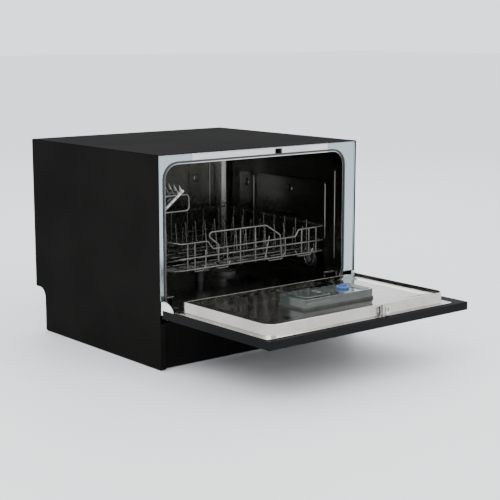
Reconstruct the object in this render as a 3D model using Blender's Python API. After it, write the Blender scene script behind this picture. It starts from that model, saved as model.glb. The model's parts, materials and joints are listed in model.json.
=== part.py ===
"""Compact built-in dishwasher: cabinet, drop-down door, wheeled basket and wash parts.

Units are metres, +Z is up, +Y points to the rear. The origin is on the floor, in the middle
of the cabinet's footprint. The door lies open and the basket is pushed in. Every piece is
drawn with Y = 0 at the cabinet's front edge, and the last step moves them all to the origin.
"""

import math

import bmesh
import bpy
from mathutils import Matrix, Vector

# ---------------------------------------------------------------- overall sizes
WIDTH = 0.550
DEPTH = 0.503
HEIGHT = 0.446
SHEET = 0.0012            # painted and stainless sheet
GAP = 0.0003              # between pieces that touch
CLEAR = 0.0006            # running clearance round pins and bores
SIDE_LIFT = 0.002         # the painted sheets end above the floor, the tray stands on it
NOTCH_DEPTH = 0.041       # step in the lower rear for the hoses
NOTCH_HEIGHT = 0.101
NOTCH_RADIUS = 0.023
FLANGE_WIDTH = 0.0125     # front return of the side panels, beside the kick plate
KICK_TOP = 0.098
KICK_BACK = 0.010
TRAY_WALL = 0.003
TRAY_TOP = 0.040

# ---------------------------------------------------------------- front frame and tub
STRIP_LEFT = 0.0178
STRIP_RIGHT = 0.0378      # wider, the water path sits behind it
STRIP_TOP = 0.0205
OPENING_BOTTOM = 0.126
OPENING_RADIUS = 0.030
FRAME_FRONT = 0.003       # front face of the stainless frame behind the cabinet edge
FRAME_FOOT = 0.146        # the side strips stop here, above the hinges
LIP_BOTTOM = 0.104
TUB_MARGIN = 0.002        # tub wall outside the opening edge
TUB_REAR_SPACE = 0.073    # tub rear wall to the cabinet rear
SEAL_THICK = 0.0022
SEAL_IN = 0.0020          # inner and outer edge of the seal outside the opening
SEAL_OUT = 0.0060
RUN_HEIGHT = 0.147        # wheel track level, rails and door alike
RAIL_THICK = 0.004
RAIL_START = 0.003        # rails behind the shut door's pan
RAIL_STOP = 0.004         # rails before the tub's rear wall
CORNER_SLACK = 0.0015     # rails clear of the tub's round corners
LATCH_X = 0.045
LATCH_HALF = 0.008        # half width of the latch slot
LATCH_SLOT = 0.010
LATCH_UP = 0.0055         # slot above the opening
LATCH_WALL = 0.010
LATCH_DEPTH = 0.036
LATCH_MOUTH = 0.022

# ---------------------------------------------------------------- door
DOOR_SIDE = 0.001         # door panel inside the cabinet width, each side
PANEL_UNDER = 0.112       # underside of the open door
PANEL_THICK = 0.017
CLOSED_GAP = 0.002        # closed panel to the cabinet edge
CLOSED_TOP_GAP = 0.0005   # closed door below the cabinet top
PANEL_NEAR = -0.0075      # hinge-side end of the outer panel
MOUTH_INSET = 0.010       # opening in the door skin inside the pan's outline
RIM_RISE = 0.005          # pan rim above the wheel track
RIM_WIDTH = 0.0025
PAN_CLEAR = 0.0035        # pan inside the opening, each side
PAN_END_CLEAR = 0.002
PAN_NEAR = -0.032
PAN_CORNER = 0.005        # the pan's corner radius below the opening's
FLANGE_NEAR = -0.040      # pan flange: hinge-side end, then its insets
FLANGE_SIDE = 0.004
FLANGE_END = 0.010
FLANGE_RIGHT = 0.006
STRIKE_TALL = 0.018
STRIKE_HALF = 0.0055
STRIKE_THICK = 0.004
STRIKE_FOOT = 0.008       # solid foot under the strike's eye
STRIKE_WALL = 0.0025

# ---------------------------------------------------------------- controls in the door's end
BUTTONS = 2
BUTTON_X = 0.120
BUTTON_PITCH = 0.030
BUTTON_RADIUS = 0.0065
BUTTON_TRAVEL = 0.0015
BUTTON_STEM = 0.003
CONTROL_INSET = 0.026     # row of controls from the door's far end
DISPLAY_HALF = 0.030
DISPLAY_DEEP = 0.010
DISPLAY_CORNER = 0.003
BOARD_LEFT = -0.050
BOARD_DEEP = 0.014
BOARD_RISE = 0.006
BOARD_THICK = 0.0016

# ---------------------------------------------------------------- dispenser
DISPENSER_LEFT = -0.100
DISPENSER_RIGHT = 0.092
DISPENSER_INSET = 0.0735  # from the pan's far end
DISPENSER_DEEP = 0.080
DISPENSER_HEIGHT = 0.019
DISPENSER_CORNER = 0.006
CUP_SIDE = 0.014          # cup in from the dispenser's left, then from its long edges
CUP_EDGE = 0.010
CUP_WIDTH = 0.060
CUP_DEEP = 0.014
LID_SIDE = 0.004          # lid over the cup's edges
LID_EDGE = 0.003
LID_THICK = 0.003
CAP_X = 0.040
CAP_RADIUS = 0.014
CAP_RISE = 0.005
CAP_GRIP = 0.003          # thickness and height of the caps' finger bars

# ---------------------------------------------------------------- hinges
PIN_RADIUS = 0.0028
EYE_RADIUS = 0.0070
PLATE = 0.0024            # bracket and arm thickness
PLATE_CLEAR = 0.0009      # bracket inside the hinge cover
HINGE_DROP = 0.01225      # hinge axis under the open door's top face
ARM_REACH = 0.125
BRACKET_REACH = 0.055
NOTCH_END = -0.040        # the hinge notches in the door panel end here
NOTCH_CLEAR = 0.001
COVER_BACK = 0.0
COVER_LOW = 0.1180
COVER_REACH = 0.036
COVER_RISE = 0.0277
COVER_WIDTH = 0.0085
COVER_CLEAR = 0.0010

# ---------------------------------------------------------------- basket
WIRE = 0.0036
BASKET_FRONT = 0.040
BASKET_REAR_CLEAR = 0.030 # basket to the tub's rear wall
BASKET_SIDE = 0.017       # basket side wires from the pan side
FLOOR_RISE = 0.0242       # basket floor over the axles
RAIL_LOW_RISE = 0.0165    # low side wire over the basket floor
FRAME_DROP = 0.068        # shelf frame under the opening's top
RAIL_SHARE = 0.415        # side wire and shelf hinge between the floor and the frame's top
HINGE_SHARE = 0.819
FRONT_DROP = 0.008        # front wall lower than the side walls
HANDLE_RISE = 0.014
HANDLE_LEFT = -0.131
HANDLE_RIGHT = 0.027
HANDLE_FOOT = 0.088
HANDLE_SLOPE = 0.008      # the handle's wire measured along its sloping end
FLOOR_LONGS = 9           # wires in the floor and walls
FLOOR_CROSSES = 7
WALL_POSTS = 10
TINES = 9
TINE_LEFT = -0.030
TINE_INSET = 0.014
TINE_HEIGHT = 0.052
TINE_ROW = 0.065          # the two rows of one bank apart
TINE_FRONT = 0.060        # front bank from the basket's front, rear bank from its rear
TINE_REAR = 0.080
SHELF_GAP = 0.055         # between the two shelves
SHELF_REACH = 0.066
SHELF_THICK = 0.004
SHELF_ANGLE = math.radians(37.5)
SHELF_INSET = 0.001       # first shelf from the basket's front
SHELF_OVERHANG = 0.016    # last shelf past the basket's rear
SHELF_BARS = 4
SHELF_TEETH = 9

# ---------------------------------------------------------------- wheels
WHEEL_RADIUS = 0.017
WHEEL_WIDTH = 0.008
WHEEL_LIFT = 0.0005        # wheels over the track, besides the gap
WHEEL_INSET = 0.051       # first and last wheel from the basket's ends
WHEELS = 3
AXLE_RADIUS = 0.0028
CARRIER = 0.006           # carrier bar's square section
CARRIER_END = 0.010
CARRIER_CLEAR = 0.0004    # wheel side of the carrier to the side wall

# ---------------------------------------------------------------- wash parts
ARM_CLEAR = 0.024         # spray arm to the rails
ARM_HALF = 0.019
ARM_CORNER = 0.018
ARM_Z = 0.152
ARM_THICK = 0.011
BOSS_RADIUS = 0.027
BOSS_RISE = 0.004
HUB_RADIUS = 0.012
HUB_BELOW = 0.030
SUMP_RADIUS = 0.064
SUMP_SIDE = 0.095         # sump right of and behind the arm's axis
SUMP_REAR = 0.030
SUMP_WALL = 0.0025
SUMP_RIM = 0.006
SUMP_SLACK = 0.002
SUMP_LOW = 0.052
SUMP_SHOULDER = 0.074
SUMP_TAPER = 0.018
FILTER_RADIUS = 0.028
FILTER_WALL = 0.002
FILTER_LOW = 0.080
FILTER_RISE = 0.008
FILTER_BAR = 0.004
SALT_SIDE = 0.130         # salt cap left of and behind the arm's axis
SALT_REAR = 0.110
SALT_RADIUS = 0.030
SALT_RISE = 0.008
SALT_BELOW = 0.006
SALT_GRIP = 0.006

# ---------------------------------------------------------------- machinery and fittings
PUMP_RADIUS = 0.032
PUMP_Z = 0.058
PUMP_LEFT = 0.120         # ends left and right of the arm's axis
PUMP_RIGHT = 0.005
HEATER_RADIUS = 0.022
HEATER_Z = 0.060
HEATER_SIDE = 0.185
HEATER_FRONT = 0.120
HEATER_REAR = 0.030
DRAIN_RADIUS = 0.024
DRAIN_Z = 0.055
DRAIN_CLEAR = 0.017       # drain pump beside the sump
DRAIN_FRONT = 0.060
DRAIN_REAR = 0.030
TANK_RADIUS = 0.048
TANK_LOW = 0.0462
TANK_TOP_CLEAR = 0.008
PATH_HALF = 0.125
PATH_LOW = 0.150
PATH_DROP = 0.046
PATH_CLEAR = 0.002
PATH_CORNER = 0.020
FITTING_Z = 0.135
VALVE_SIDE = 0.125        # inlet, drain and cord from the cabinet's sides
VALVE_RADIUS = 0.018
VALVE_LONG = 0.040
THREAD_RADIUS = 0.0125
THREAD_LONG = 0.014
SPIGOT_SIDE = 0.070
SPIGOT_RADIUS = 0.0100
SPIGOT_LONG = 0.016
GLAND_SIDE = 0.0575
GLAND_HALF = 0.0125
GLAND_LONG = 0.008
GLAND_CORNER = 0.005

# ---------------------------------------------------------------- derived places
SMOOTH_BELOW = math.radians(30)   # flatter edges than this are shaded smooth
THROUGH = 0.010                   # how far a cutter runs past what it cuts
SIDE_IN = WIDTH / 2 - SHEET
OPEN_LEFT = -SIDE_IN + STRIP_LEFT
OPEN_RIGHT = SIDE_IN - STRIP_RIGHT
OPEN_TOP = HEIGHT - SHEET - GAP - STRIP_TOP
TUB_LEFT = OPEN_LEFT - TUB_MARGIN
TUB_RIGHT = OPEN_RIGHT + TUB_MARGIN
TUB_FLOOR = OPENING_BOTTOM - TUB_MARGIN
TUB_TOP = OPEN_TOP + TUB_MARGIN
TUB_FRONT = FRAME_FRONT + SHEET + GAP
TUB_BACK = DEPTH - TUB_REAR_SPACE
TUB_RADIUS = OPENING_RADIUS + TUB_MARGIN
PANEL_TOP = PANEL_UNDER + PANEL_THICK
CLOSED_TOP = HEIGHT - CLOSED_TOP_GAP
# The closed panel stands CLOSED_GAP before the cabinet and ends at CLOSED_TOP.
HINGE_Z = PANEL_TOP - HINGE_DROP
HINGE_Y = -HINGE_DROP - CLOSED_GAP
DOOR_END = HINGE_Y + HINGE_Z - CLOSED_TOP
DOOR_HALF = WIDTH / 2 - DOOR_SIDE
BRACKET_INSET = SHEET + COVER_CLEAR + COVER_WIDTH + PLATE_CLEAR
RIM_Z = RUN_HEIGHT + RIM_RISE
PAN_LEFT = OPEN_LEFT + PAN_CLEAR
PAN_RIGHT = OPEN_RIGHT - PAN_CLEAR
PAN_FAR = HINGE_Y + HINGE_Z - OPEN_TOP + PAN_END_CLEAR
PAN_RADIUS = OPENING_RADIUS - PAN_CORNER
SHUT_PAN_Y = HINGE_Y + RIM_Z - HINGE_Z    # how far the shut door's pan reaches into the tub
CONTROL_Y = DOOR_END + CONTROL_INSET
DISPENSER_FAR = PAN_FAR + DISPENSER_INSET
DISPENSER_NEAR = DISPENSER_FAR + DISPENSER_DEEP
DISPENSER_TOP = RUN_HEIGHT + GAP + DISPENSER_HEIGHT
CUP_LEFT = DISPENSER_LEFT + CUP_SIDE
CUP_RIGHT = CUP_LEFT + CUP_WIDTH
CUP_FAR = DISPENSER_FAR + CUP_EDGE
CUP_NEAR = DISPENSER_NEAR - CUP_EDGE
CAP_Y = (DISPENSER_FAR + DISPENSER_NEAR) / 2
BASKET_LEFT = PAN_LEFT + BASKET_SIDE
BASKET_RIGHT = PAN_RIGHT - BASKET_SIDE
BASKET_REAR = TUB_BACK - BASKET_REAR_CLEAR
SHELF_LENGTH = (BASKET_REAR + SHELF_OVERHANG - BASKET_FRONT - SHELF_INSET - SHELF_GAP) / 2
AXLE_Z = RUN_HEIGHT + GAP + WHEEL_LIFT + WHEEL_RADIUS
FLOOR_Z = AXLE_Z + FLOOR_RISE
FRAME_TOP_Z = OPEN_TOP - FRAME_DROP
RAIL_LOW = FLOOR_Z + RAIL_LOW_RISE
RAIL_TOP = FLOOR_Z + RAIL_SHARE * (FRAME_TOP_Z - FLOOR_Z)
SHELF_HINGE_Z = FLOOR_Z + HINGE_SHARE * (FRAME_TOP_Z - FLOOR_Z)
RAIL_FRONT = RAIL_TOP - FRONT_DROP
HANDLE_TOP = RAIL_FRONT + HANDLE_RISE
FRONT_WIRE = BASKET_FRONT + WIRE / 2
REAR_WIRE = BASKET_REAR - WIRE / 2
ARM_X = (OPEN_LEFT + OPEN_RIGHT) / 2
ARM_Y = (TUB_FRONT + TUB_BACK) / 2
WEB_IN = TUB_RADIUS + RAIL_THICK
ARM_RADIUS = min((TUB_RIGHT - TUB_LEFT) / 2 - WEB_IN, (TUB_BACK - TUB_FRONT) / 2) - ARM_CLEAR
SUMP_X = ARM_X + SUMP_SIDE
SUMP_Y = ARM_Y + SUMP_REAR
SALT_X = ARM_X - SALT_SIDE
SALT_Y = ARM_Y + SALT_REAR
VALVE_X = WIDTH / 2 - VALVE_SIDE
SPIGOT_X = WIDTH / 2 - SPIGOT_SIDE
GLAND_X = GLAND_SIDE - WIDTH / 2


# ---------------------------------------------------------------- materials
def material(name, colour, roughness, metallic=0.0):
    """A Principled BSDF material."""
    made = bpy.data.materials.new(name)
    made.use_nodes = True
    shader = made.node_tree.nodes["Principled BSDF"]
    shader.inputs["Base Color"].default_value = (*colour, 1.0)
    shader.inputs["Roughness"].default_value = roughness
    shader.inputs["Metallic"].default_value = metallic
    return made


def palette():
    """Every material of the appliance by name."""
    return {
        "black_paint": material("black_paint", (0.018, 0.018, 0.018), 0.32),
        "stainless": material("stainless", (0.62, 0.62, 0.58), 0.22, 1.0),
        "tub_steel": material("tub_steel", (0.35, 0.35, 0.32), 0.20, 1.0),
        "wire": material("wire", (0.50, 0.50, 0.47), 0.35, 0.9),
        "grey_plastic": material("grey_plastic", (0.16, 0.17, 0.16), 0.45),
        "dark_plastic": material("dark_plastic", (0.02, 0.02, 0.022), 0.40),
        "white_plastic": material("white_plastic", (0.72, 0.72, 0.70), 0.35),
        "rubber": material("rubber", (0.02, 0.02, 0.02), 0.75),
        "zinc": material("zinc", (0.55, 0.56, 0.58), 0.40, 1.0),
        "blue_plastic": material("blue_plastic", (0.05, 0.12, 0.35), 0.40),
        "board": material("board", (0.02, 0.14, 0.06), 0.50),
    }


# ---------------------------------------------------------------- mesh tools
def add(name, bm, finish):
    """Turn a bmesh into a named object with one material."""
    bmesh.ops.recalc_face_normals(bm, faces=bm.faces)
    mesh = bpy.data.meshes.new(name)
    bm.to_mesh(mesh)
    bm.free()
    mesh.materials.append(finish)
    thing = bpy.data.objects.new(name, mesh)
    bpy.context.scene.collection.objects.link(thing)
    return thing


def frame_matrix(axis):
    """Matrix that turns a flat (u, v, depth) shape so that its depth runs along an axis."""
    columns = {
        "X": ((0, 1, 0), (0, 0, 1), (1, 0, 0)),     # u = Y, v = Z
        "Y": ((1, 0, 0), (0, 0, 1), (0, 1, 0)),     # u = X, v = Z
        "Z": ((1, 0, 0), (0, 1, 0), (0, 0, 1)),     # u = X, v = Y
    }[axis]
    return Matrix(columns).transposed().to_4x4()


def prism(name, outline, axis, low, high, finish):
    """Extrude a flat outline along an axis from low to high."""
    bm = bmesh.new()
    turn = frame_matrix(axis)
    ring = [bm.verts.new(turn @ Vector((u, v, low))) for u, v in outline]
    face = bm.faces.new(ring)
    far = bmesh.ops.extrude_face_region(bm, geom=[face])
    moved = [item for item in far["geom"] if isinstance(item, bmesh.types.BMVert)]
    bmesh.ops.translate(bm, verts=moved, vec=turn @ Vector((0, 0, high - low)))
    return add(name, bm, finish)


def block(name, low, high, finish):
    """A plain box between two corners."""
    outline = [(low[0], low[1]), (high[0], low[1]), (high[0], high[1]), (low[0], high[1])]
    return prism(name, outline, "Z", low[2], high[2], finish)


def rounded(u0, v0, u1, v1, radius, steps=5):
    """Outline of a rectangle with round corners."""
    points = []
    centres = [(u1 - radius, v1 - radius), (u0 + radius, v1 - radius),
               (u0 + radius, v0 + radius), (u1 - radius, v0 + radius)]
    for quarter, (cu, cv) in enumerate(centres):
        for step in range(steps + 1):
            turn = math.pi / 2 * (quarter + step / steps)
            points.append((cu + radius * math.cos(turn), cv + radius * math.sin(turn)))
    return points


def circle(cu, cv, radius, steps=20):
    """Outline of a circle."""
    return [(cu + radius * math.cos(2 * math.pi * step / steps),
             cv + radius * math.sin(2 * math.pi * step / steps)) for step in range(steps)]


def arc(cu, cv, radius_u, radius_v, start, stop, steps=8):
    """Points on an elliptical arc, angles in degrees."""
    turns = [math.radians(start + (stop - start) * step / steps) for step in range(steps + 1)]
    return [(cu + radius_u * math.cos(turn), cv + radius_v * math.sin(turn)) for turn in turns]


def rod(name, axis, centre, radius, low, high, finish, steps=16):
    """A round bar along an axis; centre is its (u, v) place."""
    thing = prism(name, circle(*centre, radius, steps), axis, low, high, finish)
    smooth(thing)
    return thing


def turned_cup(name, profile, centre, finish, steps=24):
    """A turned cup whose (radius, height) profile starts and ends on the axis."""
    bm = bmesh.new()
    ring = [bm.verts.new((radius, 0, height)) for radius, height in profile]
    edges = [bm.edges.new((ring[i], ring[i + 1])) for i in range(len(ring) - 1)]
    bmesh.ops.spin(bm, geom=ring + edges, cent=(0, 0, 0), axis=(0, 0, 1),
                   angle=2 * math.pi, steps=steps, use_merge=True)
    bmesh.ops.remove_doubles(bm, verts=bm.verts, dist=1e-6)
    bmesh.ops.translate(bm, verts=bm.verts, vec=centre)
    thing = add(name, bm, finish)
    smooth(thing)
    return thing


def smooth(thing):
    """Shade round faces smooth and keep real edges sharp."""
    thing.data.shade_smooth()
    thing.data.set_sharp_from_angle(angle=SMOOTH_BELOW)


def combine(thing, other, operation):
    """Apply one Boolean with another object and remove that object."""
    step = thing.modifiers.new("combine", "BOOLEAN")
    step.operation = operation
    step.solver = "EXACT"
    step.object = other
    bpy.context.view_layer.update()
    evaluated = thing.evaluated_get(bpy.context.evaluated_depsgraph_get())
    made = bpy.data.meshes.new_from_object(evaluated)
    thing.modifiers.remove(step)
    old = thing.data
    thing.data = made
    bpy.data.meshes.remove(old)
    bpy.data.objects.remove(other)
    return thing


def cut(thing, other):
    """Take another object's shape out of this one."""
    return combine(thing, other, "DIFFERENCE")


def join(thing, other):
    """Weld another object onto this one."""
    return combine(thing, other, "UNION")


def lattice(name, axis, level, u_bars, v_bars, span_u, span_v, finish, thick=WIRE):
    """A flat welded grid: bars centred on u_bars and v_bars, cut to the spans."""
    half = thick / 2
    u_edges = sorted({*span_u, *(bar + side for bar in u_bars for side in (-half, half))})
    v_edges = sorted({*span_v, *(bar + side for bar in v_bars for side in (-half, half))})
    bm = bmesh.new()
    turn = frame_matrix(axis)
    corners = {}

    def corner(i, j):
        """The grid point (i, j), made once."""
        if (i, j) not in corners:
            corners[i, j] = bm.verts.new(turn @ Vector((u_edges[i], v_edges[j], level - half)))
        return corners[i, j]

    def on_bar(edges, index, bars):
        """Whether the stretch after an edge lies on one of the bars."""
        middle = (edges[index] + edges[index + 1]) / 2
        return any(abs(middle - bar) < half for bar in bars)

    for i in range(len(u_edges) - 1):
        for j in range(len(v_edges) - 1):
            if on_bar(u_edges, i, u_bars) or on_bar(v_edges, j, v_bars):
                bm.faces.new((corner(i, j), corner(i + 1, j), corner(i + 1, j + 1), corner(i, j + 1)))
    far = bmesh.ops.extrude_face_region(bm, geom=list(bm.faces))
    moved = [item for item in far["geom"] if isinstance(item, bmesh.types.BMVert)]
    bmesh.ops.translate(bm, verts=moved, vec=turn @ Vector((0, 0, thick)))
    return add(name, bm, finish)


def spread(first, last, count):
    """Evenly spaced values from first to last."""
    return [first + (last - first) * step / (count - 1) for step in range(count)]


def on_axis(thing, pivot):
    """Move an object's origin onto its joint axis without moving its shape."""
    place = Vector(pivot)
    thing.data.transform(Matrix.Translation(-place))
    thing.location = place
    return thing


# ---------------------------------------------------------------- cabinet
def side_outline():
    """Side view of the cabinet with the rounded hose step in the lower rear."""
    step_y = DEPTH - NOTCH_DEPTH
    corner = arc(step_y + NOTCH_RADIUS, NOTCH_HEIGHT - NOTCH_RADIUS,
                 NOTCH_RADIUS, NOTCH_RADIUS, 180, 90, 6)
    return ([(0, SIDE_LIFT), (step_y, SIDE_LIFT)] + corner
            + [(DEPTH, NOTCH_HEIGHT), (DEPTH, HEIGHT - SHEET - GAP), (0, HEIGHT - SHEET - GAP)])


def side_panel(name, sign, finish):
    """One painted side with the narrow return flange beside the kick plate."""
    outer, inner = sign * WIDTH / 2, sign * SIDE_IN
    panel = prism(name, side_outline(), "X", min(outer, inner), max(outer, inner), finish)
    flange_in = sign * (SIDE_IN - FLANGE_WIDTH)
    xs = sorted((outer, flange_in))
    flange = block("flange", (xs[0], 0, SIDE_LIFT), (xs[1], SHEET, KICK_TOP), finish)
    return join(panel, flange)


def rear_panel(finish):
    """Rear sheet that follows the hose step."""
    outer = DEPTH - GAP
    step_y = DEPTH - NOTCH_DEPTH
    centre = (step_y + NOTCH_RADIUS, NOTCH_HEIGHT - NOTCH_RADIUS)
    inside, outside = NOTCH_RADIUS + GAP, NOTCH_RADIUS + GAP + SHEET
    outline = [(step_y - GAP, SIDE_LIFT)]
    outline += arc(*centre, inside, inside, 180, 90, 6)
    top = HEIGHT - SHEET - GAP
    outline += [(outer, NOTCH_HEIGHT + GAP), (outer, top), (outer - SHEET, top),
                (outer - SHEET, NOTCH_HEIGHT + GAP + SHEET)]
    outline += arc(*centre, outside, outside, 90, 180, 6)
    outline += [(step_y - GAP - SHEET, SIDE_LIFT)]
    panel = prism("rear_panel", outline, "X", -SIDE_IN + GAP, SIDE_IN - GAP, finish)
    return cut(panel, rod("hole", "Y", (VALVE_X, FITTING_Z), THREAD_RADIUS + CLEAR,
                          DEPTH - THROUGH, DEPTH + THROUGH, finish))


def base_tray(finish):
    """Open moulded tray under the wash parts."""
    low = (-SIDE_IN + GAP, KICK_BACK + SHEET + GAP, 0)
    high = (SIDE_IN - GAP, DEPTH - NOTCH_DEPTH - 2 * GAP - SHEET, TRAY_TOP)
    tray = block("base_tray", low, high, finish)
    hollow = block("hollow", (low[0] + TRAY_WALL, low[1] + TRAY_WALL, low[2] + TRAY_WALL),
                   (high[0] - TRAY_WALL, high[1] - TRAY_WALL, high[2] + TRAY_WALL), finish)
    return cut(tray, hollow)


def cabinet_shell(finish):
    """Outer casing, kick plate and base tray."""
    block("top_panel", (-WIDTH / 2, 0, HEIGHT - SHEET), (WIDTH / 2, DEPTH, HEIGHT), finish["black_paint"])
    side_panel("side_panel_left", -1, finish["black_paint"])
    side_panel("side_panel_right", 1, finish["black_paint"])
    rear_panel(finish["black_paint"])
    block("kick_plate", (-SIDE_IN + GAP, KICK_BACK, SIDE_LIFT),
          (SIDE_IN - GAP, KICK_BACK + SHEET, KICK_TOP), finish["black_paint"])
    base_tray(finish["dark_plastic"])


# ---------------------------------------------------------------- front frame and tub
def opening(margin, name, low, high, finish):
    """Round-cornered prism of the tub opening, widened by a margin."""
    outline = rounded(OPEN_LEFT - margin, OPENING_BOTTOM - margin,
                      OPEN_RIGHT + margin, OPEN_TOP + margin, OPENING_RADIUS + margin)
    return prism(name, outline, "Y", low, high, finish)


def front_frame(finish):
    """Stainless surround: wide strips at the top and sides, a low lip between the hinges."""
    side, top = SIDE_IN - GAP, HEIGHT - SHEET - 2 * GAP
    left, right = OPEN_LEFT + GAP, OPEN_RIGHT - GAP
    outline = [(left, LIP_BOTTOM), (right, LIP_BOTTOM), (right, FRAME_FOOT), (side, FRAME_FOOT),
               (side, top), (-side, top), (-side, FRAME_FOOT), (left, FRAME_FOOT)]
    frame = prism("front_frame", outline, "Y", FRAME_FRONT, FRAME_FRONT + SHEET, finish)
    cut(frame, opening(0, "hole", 0, TUB_FRONT + SHEET, finish))
    slot = block("slot", (LATCH_X - LATCH_HALF, 0, OPEN_TOP + LATCH_UP),
                 (LATCH_X + LATCH_HALF, TUB_FRONT + SHEET, OPEN_TOP + LATCH_UP + LATCH_SLOT), finish)
    return cut(frame, slot)


def tub(finish):
    """Deep-drawn steel tub, open to the front, with the sump hole in its floor."""
    body = opening(TUB_MARGIN + SHEET, "tub", TUB_FRONT, TUB_BACK + SHEET, finish)
    cut(body, opening(TUB_MARGIN, "hollow", 0, TUB_BACK, finish))
    for place, radius in (((SUMP_X, SUMP_Y), SUMP_RADIUS), ((ARM_X, ARM_Y), HUB_RADIUS),
                          ((SALT_X, SALT_Y), SALT_RADIUS)):
        cut(body, rod("hole", "Z", place, radius, TUB_FLOOR - THROUGH, TUB_FLOOR + SHEET, finish, 24))
    return body


def gasket(finish):
    """Rubber seal lying round the front frame."""
    seal = opening(SEAL_OUT, "door_gasket", FRAME_FRONT - GAP - SEAL_THICK, FRAME_FRONT - GAP, finish)
    return cut(seal, opening(SEAL_IN, "hollow", -THROUGH, TUB_FRONT, finish))


def corner_inset(height):
    """How far the tub's round lower corner stands in from its wall at a height over the floor."""
    return TUB_RADIUS - math.sqrt(TUB_RADIUS ** 2 - (TUB_RADIUS - min(height, TUB_RADIUS)) ** 2)


def rack_rails(finish):
    """The two ledges in the tub that carry the basket wheels, each on a web down to the floor."""
    low_y, high_y = SHUT_PAN_Y + RAIL_START, TUB_BACK - RAIL_STOP
    outer_in = corner_inset(RUN_HEIGHT - RAIL_THICK - TUB_FLOOR) + CORNER_SLACK
    for name, wall, sign in (("rack_rail_left", TUB_LEFT, 1), ("rack_rail_right", TUB_RIGHT, -1)):
        web = sorted((wall + sign * TUB_RADIUS, wall + sign * WEB_IN))
        flat = sorted((wall + sign * outer_in, wall + sign * WEB_IN))
        rail = block(name, (flat[0], low_y, RUN_HEIGHT - RAIL_THICK), (flat[1], high_y, RUN_HEIGHT), finish)
        join(rail, block("web", (web[0], low_y, TUB_FLOOR + GAP), (web[1], high_y, RUN_HEIGHT), finish))


def latch(finish):
    """Latch housing above the tub with a slot for the strike."""
    half = LATCH_HALF + LATCH_WALL
    body = block("latch_housing", (LATCH_X - half, TUB_FRONT, TUB_TOP + SHEET + GAP),
                 (LATCH_X + half, TUB_FRONT + LATCH_DEPTH, HEIGHT - SHEET - 2 * GAP), finish)
    low = OPEN_TOP + LATCH_UP
    mouth = block("mouth", (LATCH_X - LATCH_HALF, TUB_FRONT - THROUGH, low),
                  (LATCH_X + LATCH_HALF, TUB_FRONT + LATCH_MOUTH, low + LATCH_SLOT), finish)
    return cut(body, mouth)


# ---------------------------------------------------------------- wash parts
def sump(finish):
    """Sump pot under the tub floor with the filter plate and the twist-in filter cup."""
    under = TUB_FLOOR - SHEET - GAP
    wide, rim = SUMP_RADIUS - SUMP_SLACK, SUMP_RADIUS + SUMP_RIM
    narrow = wide - SUMP_TAPER
    profile = [(0, SUMP_LOW), (narrow, SUMP_LOW), (wide, SUMP_SHOULDER), (wide, under - SUMP_WALL),
               (rim, under - SUMP_WALL), (rim, under), (wide - SUMP_WALL, under),
               (wide - SUMP_WALL, SUMP_SHOULDER + SUMP_WALL / 2),
               (narrow - SUMP_WALL / 2, SUMP_LOW + SUMP_WALL), (0, SUMP_LOW + SUMP_WALL)]
    turned_cup("sump", profile, (SUMP_X, SUMP_Y, 0), finish["dark_plastic"])
    plate = rod("filter_plate", "Z", (SUMP_X, SUMP_Y), SUMP_RADIUS - CLEAR, under + GAP, under + GAP + SHEET,
                finish["stainless"], 24)
    cut(plate, rod("hole", "Z", (SUMP_X, SUMP_Y), FILTER_RADIUS + CLEAR, under - THROUGH, under + THROUGH,
                   finish["stainless"], 24))
    top, inside = TUB_FLOOR + FILTER_RISE, FILTER_RADIUS - FILTER_WALL
    profile = [(0, FILTER_LOW), (FILTER_RADIUS, FILTER_LOW), (FILTER_RADIUS, top), (inside, top),
               (inside, FILTER_LOW + FILTER_WALL), (0, FILTER_LOW + FILTER_WALL)]
    cup = turned_cup("filter_cup", profile, (SUMP_X, SUMP_Y, 0), finish["grey_plastic"])
    reach = inside + FILTER_WALL / 2
    bar = block("bar", (SUMP_X - reach, SUMP_Y - FILTER_BAR / 2, top - 1.5 * FILTER_BAR),
                (SUMP_X + reach, SUMP_Y + FILTER_BAR / 2, top), finish["grey_plastic"])
    on_axis(join(cup, bar), (SUMP_X, SUMP_Y, top))


def spray(finish):
    """Hub in the tub floor and the spray arm that turns on it."""
    hub_top = ARM_Z - BOSS_RISE
    rod("spray_hub", "Z", (ARM_X, ARM_Y), HUB_RADIUS - CLEAR, TUB_FLOOR - HUB_BELOW, hub_top,
        finish["dark_plastic"])
    outline = rounded(ARM_X - ARM_RADIUS, ARM_Y - ARM_HALF, ARM_X + ARM_RADIUS, ARM_Y + ARM_HALF, ARM_CORNER)
    arm = prism("spray_arm", outline, "Z", ARM_Z, ARM_Z + ARM_THICK, finish["grey_plastic"])
    join(arm, rod("boss", "Z", (ARM_X, ARM_Y), BOSS_RADIUS, hub_top + GAP, ARM_Z + ARM_THICK + BOSS_RISE,
                  finish["grey_plastic"]))
    smooth(arm)
    on_axis(arm, (ARM_X, ARM_Y, ARM_Z))


def salt_cap(finish):
    """Screw cap of the water softener in the tub floor."""
    cap = rod("salt_cap", "Z", (SALT_X, SALT_Y), SALT_RADIUS - CLEAR, TUB_FLOOR - SALT_BELOW,
              TUB_FLOOR + SALT_RISE, finish["dark_plastic"], 20)
    reach = SALT_RADIUS - SALT_RISE
    grip = block("grip", (SALT_X - reach, SALT_Y - SALT_GRIP / 2, TUB_FLOOR),
                 (SALT_X + reach, SALT_Y + SALT_GRIP / 2, TUB_FLOOR + SALT_RISE + SALT_GRIP),
                 finish["dark_plastic"])
    on_axis(join(cap, grip), (SALT_X, SALT_Y, TUB_FLOOR))


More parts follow.
